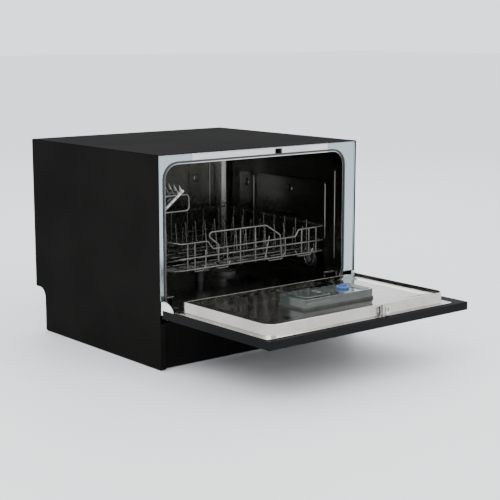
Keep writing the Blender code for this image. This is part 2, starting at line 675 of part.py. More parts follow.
def machinery(finish):
    """Pumps, heater, softener and water path round the tub."""
    rod("wash_pump", "X", (ARM_Y, PUMP_Z), PUMP_RADIUS, ARM_X - PUMP_LEFT, ARM_X + PUMP_RIGHT,
        finish["dark_plastic"])
    rod("flow_heater", "Y", (ARM_X - HEATER_SIDE, HEATER_Z), HEATER_RADIUS, ARM_Y - HEATER_FRONT,
        ARM_Y + HEATER_REAR, finish["zinc"])
    drain_x = SUMP_X + SUMP_RADIUS + DRAIN_RADIUS + DRAIN_CLEAR
    rod("drain_pump", "Y", (drain_x, DRAIN_Z), DRAIN_RADIUS, SUMP_Y - DRAIN_FRONT, SUMP_Y + DRAIN_REAR,
        finish["grey_plastic"])
    rod("softener_tank", "Z", (SALT_X, SALT_Y), TANK_RADIUS, TANK_LOW, TUB_FLOOR - SHEET - TANK_TOP_CLEAR,
        finish["grey_plastic"], 20)
    outline = rounded(ARM_Y - PATH_HALF, PATH_LOW, ARM_Y + PATH_HALF, HEIGHT - PATH_DROP, PATH_CORNER)
    prism("water_path", outline, "X", TUB_RIGHT + SHEET + PATH_CLEAR, SIDE_IN - PATH_CLEAR,
          finish["white_plastic"])


def fittings(finish):
    """Inlet valve with its thread, drain spigot and cord gland in the rear panel."""
    rear = DEPTH - GAP
    inside = rear - SHEET - GAP
    valve = rod("inlet_valve", "Y", (VALVE_X, FITTING_Z), VALVE_RADIUS, inside - VALVE_LONG, inside,
                finish["zinc"])
    join(valve, rod("thread", "Y", (VALVE_X, FITTING_Z), THREAD_RADIUS, inside - SHEET, rear + THREAD_LONG,
                    finish["zinc"]))
    rod("drain_spigot", "Y", (SPIGOT_X, FITTING_Z), SPIGOT_RADIUS, rear + GAP, rear + SPIGOT_LONG,
        finish["grey_plastic"])
    outline = rounded(GLAND_X - GLAND_HALF, FITTING_Z - GLAND_HALF, GLAND_X + GLAND_HALF,
                      FITTING_Z + GLAND_HALF, GLAND_CORNER)
    prism("cord_gland", outline, "Y", rear + GAP, rear + GLAND_LONG, finish["dark_plastic"])


# ---------------------------------------------------------------- hinges
def hinge(side, sign, finish):
    """Bracket with its riveted pin on the cabinet, arm and round cover on the door, for one side."""
    def span(near, thick):
        edges = sorted((sign * (WIDTH / 2 - near), sign * (WIDTH / 2 - near - thick)))
        return edges[0], edges[1]

    eye = arc(HINGE_Y, HINGE_Z, EYE_RADIUS, EYE_RADIUS, 90, 270, 10)
    plate = [(BRACKET_REACH, HINGE_Z - EYE_RADIUS), (BRACKET_REACH, HINGE_Z + EYE_RADIUS)] + eye
    bracket = prism(f"hinge_bracket_{side}", plate, "X", *span(BRACKET_INSET, PLATE), finish["zinc"])
    join(bracket, rod("pin", "X", (HINGE_Y, HINGE_Z), PIN_RADIUS,
                      *span(BRACKET_INSET + PLATE / 2, 1.5 * PLATE + 2 * CLEAR), finish["zinc"]))

    arm_in = BRACKET_INSET + PLATE + CLEAR
    eye = arc(HINGE_Y, HINGE_Z, EYE_RADIUS, EYE_RADIUS, 270, 450, 10)
    low, high = PANEL_UNDER + SHEET + GAP, PANEL_TOP - SHEET - GAP
    near = NOTCH_END - GAP
    outline = eye + [(near, high), (-ARM_REACH, high), (-ARM_REACH, low), (near, low)]
    arm = prism(f"hinge_arm_{side}", outline, "X", *span(arm_in, PLATE), finish["zinc"])
    cut(arm, rod("bore", "X", (HINGE_Y, HINGE_Z), PIN_RADIUS + CLEAR,
                 *span(arm_in - THROUGH, PLATE + 2 * THROUGH), finish["zinc"]))

    cover = [(COVER_BACK, COVER_LOW)] + arc(COVER_BACK, COVER_LOW, COVER_REACH, COVER_RISE, 90, 180, 10)
    prism(f"hinge_cover_{side}", cover, "X", *span(SHEET + COVER_CLEAR, COVER_WIDTH),
          finish["white_plastic"])


# ---------------------------------------------------------------- door
def window(name, margin, low, high, finish):
    """Round-cornered prism of the display window, grown by a margin."""
    outline = rounded(-DISPLAY_HALF - margin, CONTROL_Y - DISPLAY_DEEP - margin, DISPLAY_HALF + margin,
                      CONTROL_Y + DISPLAY_DEEP + margin, DISPLAY_CORNER, 3)
    return prism(name, outline, "Z", low, high, finish)


def button_places():
    """X of each push button."""
    return [BUTTON_X + index * BUTTON_PITCH for index in range(BUTTONS)]


def outer_panel(finish):
    """Folded black door skin, open under the pan, notched for the hinges."""
    panel = block("door_outer_panel", (-DOOR_HALF, DOOR_END, PANEL_UNDER),
                  (DOOR_HALF, PANEL_NEAR, PANEL_TOP), finish)
    hollow = block("hollow", (-DOOR_HALF + SHEET, DOOR_END + SHEET, PANEL_UNDER + SHEET),
                   (DOOR_HALF - SHEET, PANEL_NEAR - SHEET, PANEL_TOP - SHEET), finish)
    mouth = block("mouth", (PAN_LEFT + MOUTH_INSET, PAN_FAR + MOUTH_INSET, PANEL_UNDER + 2 * SHEET),
                  (PAN_RIGHT - MOUTH_INSET, PAN_NEAR - MOUTH_INSET, PANEL_TOP + SHEET), finish)
    cut(panel, join(hollow, mouth))
    inner = WIDTH / 2 - BRACKET_INSET - 2 * PLATE - 2 * CLEAR - NOTCH_CLEAR
    for sign in (-1, 1):
        xs = sorted((sign * (DOOR_HALF - SHEET), sign * inner))
        cut(panel, block("notch", (xs[0], NOTCH_END, PANEL_UNDER - SHEET),
                         (xs[1], PANEL_NEAR + SHEET, PANEL_TOP + SHEET), finish))
    low, high = PANEL_UNDER - SHEET, PANEL_UNDER + 2 * SHEET
    for x in button_places():
        cut(panel, rod("hole", "Z", (x, CONTROL_Y), BUTTON_RADIUS + CLEAR, low, high, finish))
    return cut(panel, window("window", 0, low, high, finish))


def inner_pan(finish):
    """Stainless inner door: flange, raised walls with a rim, and the dished wheel track.

    The track is level with the pan's hinge-side end, where the wheels come on from the rails.
    """
    base = PANEL_TOP + GAP
    flange = block("door_inner_pan", (-DOOR_HALF + FLANGE_SIDE, DOOR_END + FLANGE_END, base),
                   (PAN_RIGHT + FLANGE_RIGHT, FLANGE_NEAR, base + SHEET), finish)

    def inset(edge):
        """Outline of the pan moved in by an edge."""
        return rounded(PAN_LEFT + edge, PAN_FAR + edge, PAN_RIGHT - edge, PAN_NEAR - edge, PAN_RADIUS - edge)

    join(flange, prism("raised", inset(0), "Z", base, RIM_Z, finish))
    cut(flange, prism("hollow", inset(SHEET), "Z", base - SHEET, RUN_HEIGHT - SHEET, finish))
    dish = prism("dish", inset(RIM_WIDTH), "Z", RUN_HEIGHT, RIM_Z + SHEET, finish)
    ramp = block("ramp", (PAN_LEFT + RIM_WIDTH, PAN_NEAR - PAN_RADIUS, RUN_HEIGHT),
                 (PAN_RIGHT - RIM_WIDTH, PAN_NEAR + THROUGH, RIM_Z + SHEET), finish)
    return cut(flange, join(dish, ramp))


def dispenser(finish):
    """Dispenser body with its detergent cup, the cup's lid and the rinse-aid cap."""
    top, dark = DISPENSER_TOP, finish["dark_plastic"]
    outline = rounded(DISPENSER_LEFT, DISPENSER_FAR, DISPENSER_RIGHT, DISPENSER_NEAR, DISPENSER_CORNER, 3)
    body = prism("dispenser_body", outline, "Z", RUN_HEIGHT + GAP, top, dark)
    cup = rounded(CUP_LEFT, CUP_FAR, CUP_RIGHT, CUP_NEAR, DISPENSER_CORNER, 3)
    cut(body, prism("cup", cup, "Z", top - CUP_DEEP, top + SHEET, dark))
    cover = rounded(CUP_LEFT - LID_SIDE, CUP_FAR - LID_EDGE, CUP_RIGHT + LID_SIDE, CUP_NEAR + LID_EDGE,
                    DISPENSER_CORNER, 3)
    lid_top = top + GAP + LID_THICK
    lid = prism("detergent_lid", cover, "Z", top + GAP, lid_top, finish["grey_plastic"])
    on_axis(lid, (CUP_LEFT - LID_SIDE, (CUP_FAR + CUP_NEAR) / 2, lid_top))
    cap = rod("rinse_aid_cap", "Z", (CAP_X, CAP_Y), CAP_RADIUS, top + GAP, top + CAP_RISE,
              finish["blue_plastic"])
    reach = CAP_RADIUS - CAP_GRIP
    grip = block("grip", (CAP_X - reach, CAP_Y - CAP_GRIP / 2, top + 2 * GAP),
                 (CAP_X + reach, CAP_Y + CAP_GRIP / 2, top + CAP_RISE + CAP_GRIP), finish["blue_plastic"])
    join(cap, grip)
    on_axis(cap, (CAP_X, CAP_Y, top))


def strike(finish):
    """Hook on the far end of the pan that enters the latch when the door is shut."""
    low = PANEL_TOP + SHEET + 2 * GAP
    y = HINGE_Y + HINGE_Z - (OPEN_TOP + LATCH_UP + LATCH_SLOT / 2)
    half = STRIKE_THICK / 2
    body = block("door_strike", (LATCH_X - STRIKE_HALF, y - half, low),
                 (LATCH_X + STRIKE_HALF, y + half, low + STRIKE_TALL), finish)
    inside = STRIKE_HALF - STRIKE_WALL
    eye = block("eye", (LATCH_X - inside, y - THROUGH, low + STRIKE_FOOT),
                (LATCH_X + inside, y + THROUGH, low + STRIKE_TALL - STRIKE_WALL), finish)
    return cut(body, eye)


def controls(finish):
    """Circuit board, display window and push buttons in the top edge of the shut door."""
    floor = PANEL_UNDER + SHEET
    low = floor + BOARD_RISE
    block("control_board", (BOARD_LEFT, CONTROL_Y - BOARD_DEEP, low),
          (BUTTON_X + BUTTONS * BUTTON_PITCH, CONTROL_Y + BOARD_DEEP, low + BOARD_THICK), finish["board"])
    window("display_window", -GAP, PANEL_UNDER + GAP, floor + SHEET, finish["dark_plastic"])
    for index, x in enumerate(button_places()):
        button = rod(f"push_button_{index + 1}", "Z", (x, CONTROL_Y), BUTTON_RADIUS,
                     PANEL_UNDER - BUTTON_TRAVEL, floor + BUTTON_STEM, finish["dark_plastic"])
        on_axis(button, (x, CONTROL_Y, PANEL_UNDER))


# ---------------------------------------------------------------- basket
def basket_walls(wire):
    """Floor and four walls of the wire basket, with the raised handle wire in front."""
    half = WIRE / 2
    lift = FLOOR_Z + half + GAP
    left, right = BASKET_LEFT, BASKET_RIGHT
    span_y = (FRONT_WIRE - half, REAR_WIRE + half)
    lattice("basket_floor", "Z", FLOOR_Z, spread(left, right, FLOOR_LONGS),
            spread(FRONT_WIRE, REAR_WIRE, FLOOR_CROSSES), (left - half, right + half), span_y, wire)
    low_x, high_x = left + half + GAP, right - half - GAP
    for name, level in (("basket_front", FRONT_WIRE), ("basket_rear", REAR_WIRE)):
        rails = [lift + half, (lift + RAIL_FRONT) / 2, RAIL_FRONT - half]
        lattice(name, "Y", level, spread(low_x + half, high_x - half, WALL_POSTS), rails,
                (low_x, high_x), (lift, RAIL_FRONT), wire)
    for name, level in (("basket_left", left), ("basket_right", right)):
        lattice(name, "X", level, spread(FRONT_WIRE, REAR_WIRE, FLOOR_CROSSES),
                [lift + half, RAIL_LOW + half, RAIL_TOP - half], span_y, (lift, RAIL_TOP), wire)
    root = RAIL_FRONT - half
    handle = [(HANDLE_LEFT, root), (HANDLE_LEFT, HANDLE_TOP), (HANDLE_RIGHT, HANDLE_TOP),
              (HANDLE_FOOT, root), (HANDLE_FOOT - HANDLE_SLOPE, root),
              (HANDLE_RIGHT - half, HANDLE_TOP - WIRE),
              (HANDLE_LEFT + WIRE, HANDLE_TOP - WIRE), (HANDLE_LEFT + WIRE, root)]
    bar = prism("basket_handle", handle, "Y", FRONT_WIRE - half, FRONT_WIRE + half, wire)
    join(bpy.data.objects["basket_front"], bar)


def tines(wire):
    """Two banks of plate tines, each of two rows tied at their ends."""
    half = WIRE / 2
    lift = FLOOR_Z + half + GAP
    far = BASKET_RIGHT - TINE_INSET
    rear = BASKET_REAR - TINE_REAR - TINE_ROW
    for name, first in (("tine_bank_front", BASKET_FRONT + TINE_FRONT), ("tine_bank_rear", rear)):
        last = first + TINE_ROW
        rows = [lattice(name, "Y", y, spread(TINE_LEFT, far, TINES), [lift + half],
                        (TINE_LEFT - half, far + half), (lift, lift + TINE_HEIGHT), wire)
                for y in (first, last)]
        join(*rows)
        for x in (TINE_LEFT, far):
            join(rows[0], block("tie", (x - half, first, lift), (x + half, last, lift + WIRE), wire))


def wheel_places():
    """Y of the three wheels of one side."""
    return spread(BASKET_FRONT + WHEEL_INSET, BASKET_REAR - WHEEL_INSET, WHEELS)


def carrier(side, sign, x_face, finish):
    """Bar under the basket floor with the three stub axles of one side."""
    inner = x_face - sign * CARRIER
    xs = sorted((x_face, inner))
    places = wheel_places()
    half = CARRIER / 2
    bar = block(f"wheel_carrier_{side}", (xs[0], places[0] - CARRIER_END, AXLE_Z - half),
                (xs[1], places[-1] + CARRIER_END, AXLE_Z + half), finish)
    ends = sorted((inner, x_face + sign * (WHEEL_WIDTH + 2 * GAP)))
    for y in places:
        post = block("post", (xs[0], y - half, AXLE_Z), (xs[1], y + half, FLOOR_Z - WIRE / 2 - GAP), finish)
        join(bar, post)
        join(bar, rod("axle", "X", (y, AXLE_Z), AXLE_RADIUS, *ends, finish, 12))


def wheels(finish):
    """The wheel carriers and their six bored wheels."""
    dark = finish["dark_plastic"]
    for side, sign, x_side in (("left", -1, BASKET_LEFT), ("right", 1, BASKET_RIGHT)):
        x_face = x_side + sign * (WIRE / 2 + CARRIER_CLEAR)
        carrier(side, sign, x_face, finish["wire"])
        low, high = sorted((x_face + sign * GAP, x_face + sign * (GAP + WHEEL_WIDTH)))
        for index, y in enumerate(wheel_places()):
            wheel = rod(f"wheel_{side}_{index + 1}", "X", (y, AXLE_Z), WHEEL_RADIUS, low, high, dark, 24)
            cut(wheel, rod("bore", "X", (y, AXLE_Z), AXLE_RADIUS + CLEAR, low - GAP, high + GAP, dark, 12))
            on_axis(wheel, (0, y, AXLE_Z))


def shelves(finish):
    """Wire frame over the left side and the two folding cup shelves hung on it."""
    half, inset = WIRE / 2, SHELF_THICK / 2
    lattice("shelf_frame", "X", BASKET_LEFT, [FRONT_WIRE, (FRONT_WIRE + REAR_WIRE) / 2, REAR_WIRE],
            [SHELF_HINGE_Z - half, FRAME_TOP_Z - half], (FRONT_WIRE - half, REAR_WIRE + half),
            (RAIL_TOP + GAP, FRAME_TOP_Z), finish["wire"])
    hinge_x = BASKET_LEFT + half + inset + GAP
    rear = BASKET_REAR + SHELF_OVERHANG - SHELF_LENGTH
    for name, start in (("cup_shelf_front", BASKET_FRONT + SHELF_INSET), ("cup_shelf_rear", rear)):
        end = start + SHELF_LENGTH
        shelf = lattice(name, "Z", 0, spread(inset, SHELF_REACH - inset, SHELF_BARS),
                        spread(start + inset, end - inset, SHELF_TEETH), (0, SHELF_REACH), (start, end),
                        finish["grey_plastic"], SHELF_THICK)
        shelf.data.transform(Matrix.Rotation(-SHELF_ANGLE, 4, "Y"))
        shelf.location = (hinge_x, 0, SHELF_HINGE_Z)


# ---------------------------------------------------------------- build
def main():
    """Clear the scene and build every piece."""
    for thing in list(bpy.data.objects):
        bpy.data.objects.remove(thing)
    finish = palette()
    cabinet_shell(finish)
    front_frame(finish["stainless"])
    tub(finish["tub_steel"])
    gasket(finish["rubber"])
    rack_rails(finish["tub_steel"])
    latch(finish["dark_plastic"])
    sump(finish)
    spray(finish)
    salt_cap(finish)
    machinery(finish)
    fittings(finish)
    hinge("left", -1, finish)
    hinge("right", 1, finish)
    outer_panel(finish["black_paint"])
    inner_pan(finish["stainless"])
    dispenser(finish)
    strike(finish["zinc"])
    controls(finish)
    basket_walls(finish["wire"])
    tines(finish["wire"])
    wheels(finish)
    shelves(finish)
    for thing in bpy.data.objects:
        thing.location.y -= DEPTH / 2


main()
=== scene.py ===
"""Looks of a compact built-in dishwasher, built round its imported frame.

Every size is in metres in the frame's own axes: +Z up, the door opens towards -Y. Each
sub-assembly is a class that reads its places from the frame's nodes, builds finished meshes
and lets them ride on the frame's bodies.
"""

import json
import logging
import math
from collections.abc import Iterable, Sequence
from dataclasses import dataclass, field
from enum import Enum

import bmesh
import bpy
from mathutils import Matrix, Vector

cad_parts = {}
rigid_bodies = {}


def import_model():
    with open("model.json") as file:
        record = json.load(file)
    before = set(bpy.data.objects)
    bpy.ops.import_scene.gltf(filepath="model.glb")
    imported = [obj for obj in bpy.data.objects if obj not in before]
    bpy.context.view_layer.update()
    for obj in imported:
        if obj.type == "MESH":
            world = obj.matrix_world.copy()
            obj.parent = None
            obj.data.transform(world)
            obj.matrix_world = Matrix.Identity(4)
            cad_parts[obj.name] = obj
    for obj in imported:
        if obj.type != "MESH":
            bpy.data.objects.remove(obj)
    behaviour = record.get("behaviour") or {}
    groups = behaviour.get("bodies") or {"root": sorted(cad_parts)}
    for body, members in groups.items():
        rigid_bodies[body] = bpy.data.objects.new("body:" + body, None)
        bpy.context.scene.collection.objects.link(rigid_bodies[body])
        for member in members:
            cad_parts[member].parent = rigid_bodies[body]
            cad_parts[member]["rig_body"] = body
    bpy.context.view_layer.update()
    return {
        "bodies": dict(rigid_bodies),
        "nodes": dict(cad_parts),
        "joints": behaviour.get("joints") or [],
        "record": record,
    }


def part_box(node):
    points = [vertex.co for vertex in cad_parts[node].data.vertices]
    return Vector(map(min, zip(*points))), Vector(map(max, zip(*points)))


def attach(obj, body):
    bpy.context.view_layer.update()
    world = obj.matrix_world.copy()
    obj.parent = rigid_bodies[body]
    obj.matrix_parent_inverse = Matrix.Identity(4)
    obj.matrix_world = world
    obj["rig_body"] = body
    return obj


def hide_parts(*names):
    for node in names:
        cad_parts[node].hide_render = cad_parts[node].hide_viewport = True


Colour = tuple[float, float, float]
Place = tuple[float, float, float]
Outline = list[tuple[float, float]]

LOG = logging.getLogger("dishwasher")

# shares of a soft noise's range that tone, gloss and polishing lines take up
TONE_BAND, GLOSS_BAND, LINE_BAND = (0.32, 0.68), (0.30, 0.70), (0.35, 0.65)
SMUDGE_SHARE = 0.35      # size of a smudge against a patch of tone
WAVE_SHARE = 1.6         # length of a sheet's wave against a patch of tone
COAT_ROUGHNESS = 0.08
SHARP_EDGE = math.radians(35)
SUNK = 0.0003            # how deep the root of a raised detail stands in its wall
FRAME_SEAMS = (-0.188, 0.190)


# ---------------------------------------------------------------- shader tools
class Link:
    """One output socket of a material's nodes; arithmetic on it adds Math nodes."""

    def __init__(self, graph: "Graph", socket: bpy.types.NodeSocket) -> None:
        """Wrap a socket of a graph."""
        self.graph = graph
        self.socket = socket

    def _math(self, operation: str, first: object, second: object) -> "Link":
        """Add one Math node."""
        return self.graph.node("ShaderNodeMath", {"operation": operation}, {0: first, 1: second})

    def __add__(self, other: object) -> "Link":
        """Sum."""
        return self._math("ADD", self, other)

    def __sub__(self, other: object) -> "Link":
        """Difference."""
        return self._math("SUBTRACT", self, other)

    def __rsub__(self, other: object) -> "Link":
        """Reflected difference, as in 1 - mask."""
        return self._math("SUBTRACT", other, self)

    def __mul__(self, other: object) -> "Link":
        """Product."""
        return self._math("MULTIPLY", self, other)

    __radd__ = __add__
    __rmul__ = __mul__

    def between(self, low: float, high: float) -> "Link":
        """A smooth 0 to 1 step from low to high."""
        return self.graph.node("ShaderNodeMapRange", {"interpolation_type": "SMOOTHSTEP"},
                               {"Value": self, "From Min": low, "From Max": high})


class Graph:
    """The node tree of one material with a Principled shader."""

    def __init__(self, name: str) -> None:
        """Make an empty material of that name."""
        self.material = bpy.data.materials.new(name)
        self.material.use_nodes = True
        self.tree = self.material.node_tree
        self.shader = self.tree.nodes["Principled BSDF"]

    def node(self, kind: str, settings: dict[str, object] | None = None,
             inputs: dict[str | int, object] | None = None, output: str | int = 0) -> Link:
        """Add one node.

        Args:
            kind: The node's type.
            settings: Its own settings, set first.
            inputs: Values or links of its sockets.
            output: The output that is wanted.

        Returns:
            That output as a link.
        """
        made = self.tree.nodes.new(kind)
        for key, value in (settings or {}).items():
            setattr(made, key, value)
        for key, value in (inputs or {}).items():
            self.feed(made.inputs[key], value)
        return Link(self, made.outputs[output])

    def feed(self, socket: bpy.types.NodeSocket, value: object) -> None:
        """Link a socket, or set its constant."""
        if isinstance(value, Link):
            self.tree.links.new(value.socket, socket)
        elif isinstance(value, tuple) and socket.type == "RGBA":
            socket.default_value = (*value[:3], 1.0)
        else:
            socket.default_value = value

    def surface(self, **inputs: object) -> None:
        """Feed sockets of the Principled shader, by name with _ for a space."""
        for key, value in inputs.items():
            self.feed(self.shader.inputs[key.replace("_", " ")], value)

    def place(self, size: float = 1.0, stretch: Place = (1.0, 1.0, 1.0)) -> Link:
        """Object coordinates counted in pattern sizes, drawn out along stretch."""
        scale = tuple(1.0 / (size * way) for way in stretch)
        spot = self.node("ShaderNodeTexCoord", output="Object")
        return self.node("ShaderNodeMapping", None, {"Vector": spot, "Scale": scale})

    def noise(self, size: float, stretch: Place = (1.0, 1.0, 1.0), detail: float = 2.0) -> Link:
        """Soft noise whose lumps are about size metres."""
        return self.node("ShaderNodeTexNoise", None,
                         {"Vector": self.place(size, stretch), "Scale": 1.0, "Detail": detail})

    def mix(self, factor: object, first: object, second: object) -> Link:
        """Colour mix."""
        return self.node("ShaderNodeMix", {"data_type": "RGBA"}, {0: factor, 6: first, 7: second}, 2)

    def bump(self, height: Link, distance: float, normal: Link | None = None) -> Link:
        """Bump of a height that runs from 0 to 1 over a distance."""
        sockets: dict[str | int, object] = {"Height": height, "Distance": distance, "Strength": 1.0}
        if normal is not None:
            sockets["Normal"] = normal
        return self.node("ShaderNodeBump", None, sockets)


# ---------------------------------------------------------------- finishes
@dataclass(frozen=True)
class Finish:
    """A surface whose tone and gloss wander slowly, with fine grain standing on it."""

    name: str
    slot: str
    dark: Colour
    light: Colour
    gloss: tuple[float, float] = (0.30, 0.40)
    metallic: float = 0.0
    patch: float = 0.08
    grain: float = 0.0010
    depth: float = 0.00002
    coat: float = 0.0
    specular: float = 0.5

    def height(self, graph: Graph) -> Link:
        """Height of the fine grain, 0 to 1."""
        return graph.noise(self.grain, detail=3.0)

    def tone(self, graph: Graph) -> Link:
        """Mix between the dark and the light colour."""
        return graph.noise(self.patch, detail=4.0).between(*TONE_BAND)

    def roughness(self, graph: Graph) -> Link:
        """Roughness that follows slow smudges."""
        low, high = self.gloss
        smudges = graph.noise(self.patch * SMUDGE_SHARE, detail=5.0).between(*GLOSS_BAND)
        return low + (high - low) * smudges

    def build(self) -> bpy.types.Material:
        """Make the material."""
        graph = Graph(self.name)
        graph.surface(Base_Color=graph.mix(self.tone(graph), self.dark, self.light),
                      Roughness=self.roughness(graph), Metallic=self.metallic,
                      Normal=graph.bump(self.height(graph), self.depth), Coat_Weight=self.coat,
                      Coat_Roughness=COAT_ROUGHNESS, Specular_IOR_Level=self.specular)
        return graph.material


@dataclass(frozen=True)
class Enamel(Finish):
    """Baked paint with orange peel and dust-fine specks."""

    speck: float = 0.0006

    def height(self, graph: Graph) -> Link:
        """Long soft peel with a little grit in it."""
        return 0.8 * graph.noise(self.grain, detail=1.0) + 0.2 * graph.noise(self.speck, detail=1.0)

    def roughness(self, graph: Graph) -> Link:
        """Smudges and specks."""
        return super().roughness(graph) + 0.05 * graph.noise(self.speck).between(0.55, 0.75)


@dataclass(frozen=True)
class Brushed(Finish):
    """Steel sheet with drawn-out polishing lines and a slow wave in the sheet."""

    stretch: Place = (60.0, 1.0, 1.0)
    wave: float = 0.0004
    streak: float = 0.05

    def roughness(self, graph: Graph) -> Link:
        """Smudges crossed by polishing lines."""
        lines = graph.noise(self.grain, self.stretch, 2.0).between(*LINE_BAND)
        return super().roughness(graph) + self.streak * lines

    def height(self, graph: Graph) -> Link:
        """Polishing lines."""
        return graph.noise(self.grain, self.stretch, 2.0)

    def colour(self, graph: Graph) -> Link:
        """Colour of the sheet."""
        return graph.mix(self.tone(graph), self.dark, self.light)

    def build(self) -> bpy.types.Material:
        """Make the material, with the sheet's wave under the lines."""
        graph = Graph(self.name)
        wave = graph.bump(graph.noise(self.patch * WAVE_SHARE, detail=1.0), self.wave)
        graph.surface(Base_Color=self.colour(graph), Roughness=self.roughness(graph),
                      Metallic=self.metallic, Normal=graph.bump(self.height(graph), self.depth, wave))
        return graph.material


@dataclass(frozen=True)
class Moulded(Finish):
    """Injection-moulded plastic with a fine spark-eroded grain."""

    def height(self, graph: Graph) -> Link:
        """Cells of the mould's texture."""
        cells = graph.node("ShaderNodeTexVoronoi", None,
                           {"Vector": graph.place(self.grain), "Scale": 1.0}, "Distance")
        return 0.7 * cells + 0.3 * graph.noise(self.grain * 3.0)


@dataclass(frozen=True)
class Dipped(Finish):
    """Thick dip coat on wire: soft lumps, and a thinner, lighter skin in places."""

    def height(self, graph: Graph) -> Link:
        """Slow sags of the coat with fine orange peel."""
        return 0.7 * graph.noise(self.grain * 6.0, detail=1.0) + 0.3 * graph.noise(self.grain)


@dataclass(frozen=True)
class Zoned(Brushed):
    """Front frame sheet: three joined plates, the end plates tinted with a painted bluish reflection."""

    seams: tuple[float, float] = FRAME_SEAMS
    # painted reflection: a bluish tint of the surroundings laid on the end plates
    cool_reflection: Colour = (0.40, 0.47, 0.50)
    soft: float = 0.0004

    def colour(self, graph: Graph) -> Link:
        """Colour of the sheet, with a painted bluish reflection on the end plates."""
        spot = graph.node("ShaderNodeTexCoord", output="Object")
        across = graph.node("ShaderNodeSeparateXYZ", None, {0: spot}, "X")
        # mask of the end plates, where the painted bluish reflection goes
        left, right = self.seams
        ends = ((1 - across.between(left - self.soft, left + self.soft))
                + across.between(right - self.soft, right + self.soft))
        return graph.mix(ends, super().colour(graph), self.cool_reflection)


class Palette(Enum):
    """Every finish of the appliance."""

    PAINT = Enamel("satin_black_enamel", "black_paint", (0.0058, 0.0054, 0.0050), (0.0080, 0.0074, 0.0069),
                   (0.34, 0.42), patch=0.16, grain=0.0022, depth=0.00003, coat=0.03, specular=0.0)
    FACE = Enamel("gloss_black_face", "black_paint", (0.006, 0.006, 0.0065), (0.009, 0.009, 0.0095),
                  (0.14, 0.20), patch=0.20, grain=0.0040, depth=0.00002, coat=0.10, specular=0.0)
    # the frame's end plates carry a painted bluish reflection (see Zoned)
    FRAME = Zoned("bright_frame_steel", "stainless", (0.62, 0.64, 0.64), (0.74, 0.75, 0.74), (0.10, 0.18),
                  1.0, patch=0.09, grain=0.0006, depth=0.000004, wave=0.0003, streak=0.04)
    PAN = Brushed("bright_pan_steel", "stainless", (0.43, 0.41, 0.37), (0.52, 0.50, 0.46), (0.08, 0.15),
                  1.0, patch=0.08, grain=0.0007, depth=0.000005, wave=0.0006, streak=0.06)
    TUB = Brushed("drawn_tub_steel", "tub_steel", (0.150, 0.150, 0.138), (0.195, 0.195, 0.180), (0.11, 0.19),
                  1.0, patch=0.20, grain=0.0009, depth=0.000006, stretch=(1.0, 40.0, 1.0), wave=0.0004)
    WIRE = Dipped("dipped_grey_wire", "wire", (0.090, 0.088, 0.080), (0.140, 0.138, 0.128), (0.18, 0.30),
                  0.75, patch=0.03, grain=0.0008, depth=0.00004, coat=0.2)
    GREY = Moulded("moulded_grey", "grey_plastic", (0.060, 0.062, 0.059), (0.090, 0.092, 0.087),
                   (0.34, 0.46), patch=0.05, grain=0.0005, depth=0.00003)
    PALE = Moulded("moulded_pale_grey", "grey_plastic", (0.42, 0.43, 0.42), (0.55, 0.56, 0.54),
                   (0.28, 0.40), patch=0.02, grain=0.0005, depth=0.00002)
    DARK = Moulded("moulded_black", "dark_plastic", (0.013, 0.013, 0.014), (0.022, 0.022, 0.023),
                   (0.34, 0.48), patch=0.05, grain=0.0005, depth=0.00003)
    GLOSS = Moulded("polished_dispenser", "dark_plastic", (0.040, 0.048, 0.044), (0.060, 0.069, 0.064),
                    (0.08, 0.16), patch=0.04, grain=0.0015, depth=0.00001, coat=0.6)
    WHITE = Moulded("moulded_white", "white_plastic", (0.66, 0.66, 0.63), (0.76, 0.76, 0.73),
                    (0.28, 0.38), patch=0.03, grain=0.0006, depth=0.00002)
    RUBBER = Moulded("seal_rubber", "rubber", (0.020, 0.020, 0.020), (0.034, 0.034, 0.033),
                     (0.60, 0.78), patch=0.02, grain=0.0009, depth=0.00006)
    ZINC = Finish("passivated_zinc", "zinc", (0.42, 0.43, 0.44), (0.62, 0.62, 0.60), (0.26, 0.42),
                  1.0, patch=0.012, grain=0.0007, depth=0.00003)
    SCREW = Finish("screw_steel", "zinc", (0.40, 0.40, 0.40), (0.60, 0.60, 0.58), (0.22, 0.34),
                   1.0, patch=0.004, grain=0.0004, depth=0.00001)
    TYRE = Moulded("tyre_black", "dark_plastic", (0.012, 0.012, 0.012), (0.020, 0.020, 0.019),
                   (0.28, 0.40), patch=0.02, grain=0.0005, depth=0.00002, specular=0.30)
    BLUE = Moulded("moulded_blue", "blue_plastic", (0.035, 0.090, 0.260), (0.050, 0.120, 0.330),
                   (0.26, 0.36), patch=0.02, grain=0.0005, depth=0.00002)
    BOARD = Finish("solder_mask", "board", (0.012, 0.090, 0.040), (0.020, 0.130, 0.060), (0.22, 0.34),
                   patch=0.01, grain=0.0008, depth=0.00002)
    SMOKE = Finish("smoked_window", "dark_plastic", (0.004, 0.004, 0.005), (0.007, 0.007, 0.009),
                   (0.05, 0.09), patch=0.03, grain=0.0030, depth=0.00001, coat=0.8)
    SEAM = Moulded("seam_shadow", "dark_plastic", (0.020, 0.022, 0.023), (0.035, 0.038, 0.040),
                   (0.50, 0.60), patch=0.01, grain=0.0006, depth=0.00002)


BY_SLOT = {"black_paint": Palette.PAINT, "stainless": Palette.PAN, "tub_steel": Palette.TUB,
           "wire": Palette.WIRE, "grey_plastic": Palette.GREY, "dark_plastic": Palette.DARK,
           "white_plastic": Palette.WHITE, "rubber": Palette.RUBBER, "zinc": Palette.ZINC,
           "blue_plastic": Palette.BLUE, "board": Palette.BOARD}


# ---------------------------------------------------------------- mesh tools
def add_object(name: str, data: bpy.types.ID) -> bpy.types.Object:
    """Put a mesh, a lamp or a camera into the scene, at the origin."""
    thing = bpy.data.objects.new(name, data)
    bpy.context.scene.collection.objects.link(thing)
    return thing


def mesh_of(name: str, bm: bmesh.types.BMesh) -> bpy.types.Mesh:
    """A mesh from one under construction, which is left as it is."""
    mesh = bpy.data.meshes.new(name)
    bm.to_mesh(mesh)
    return mesh


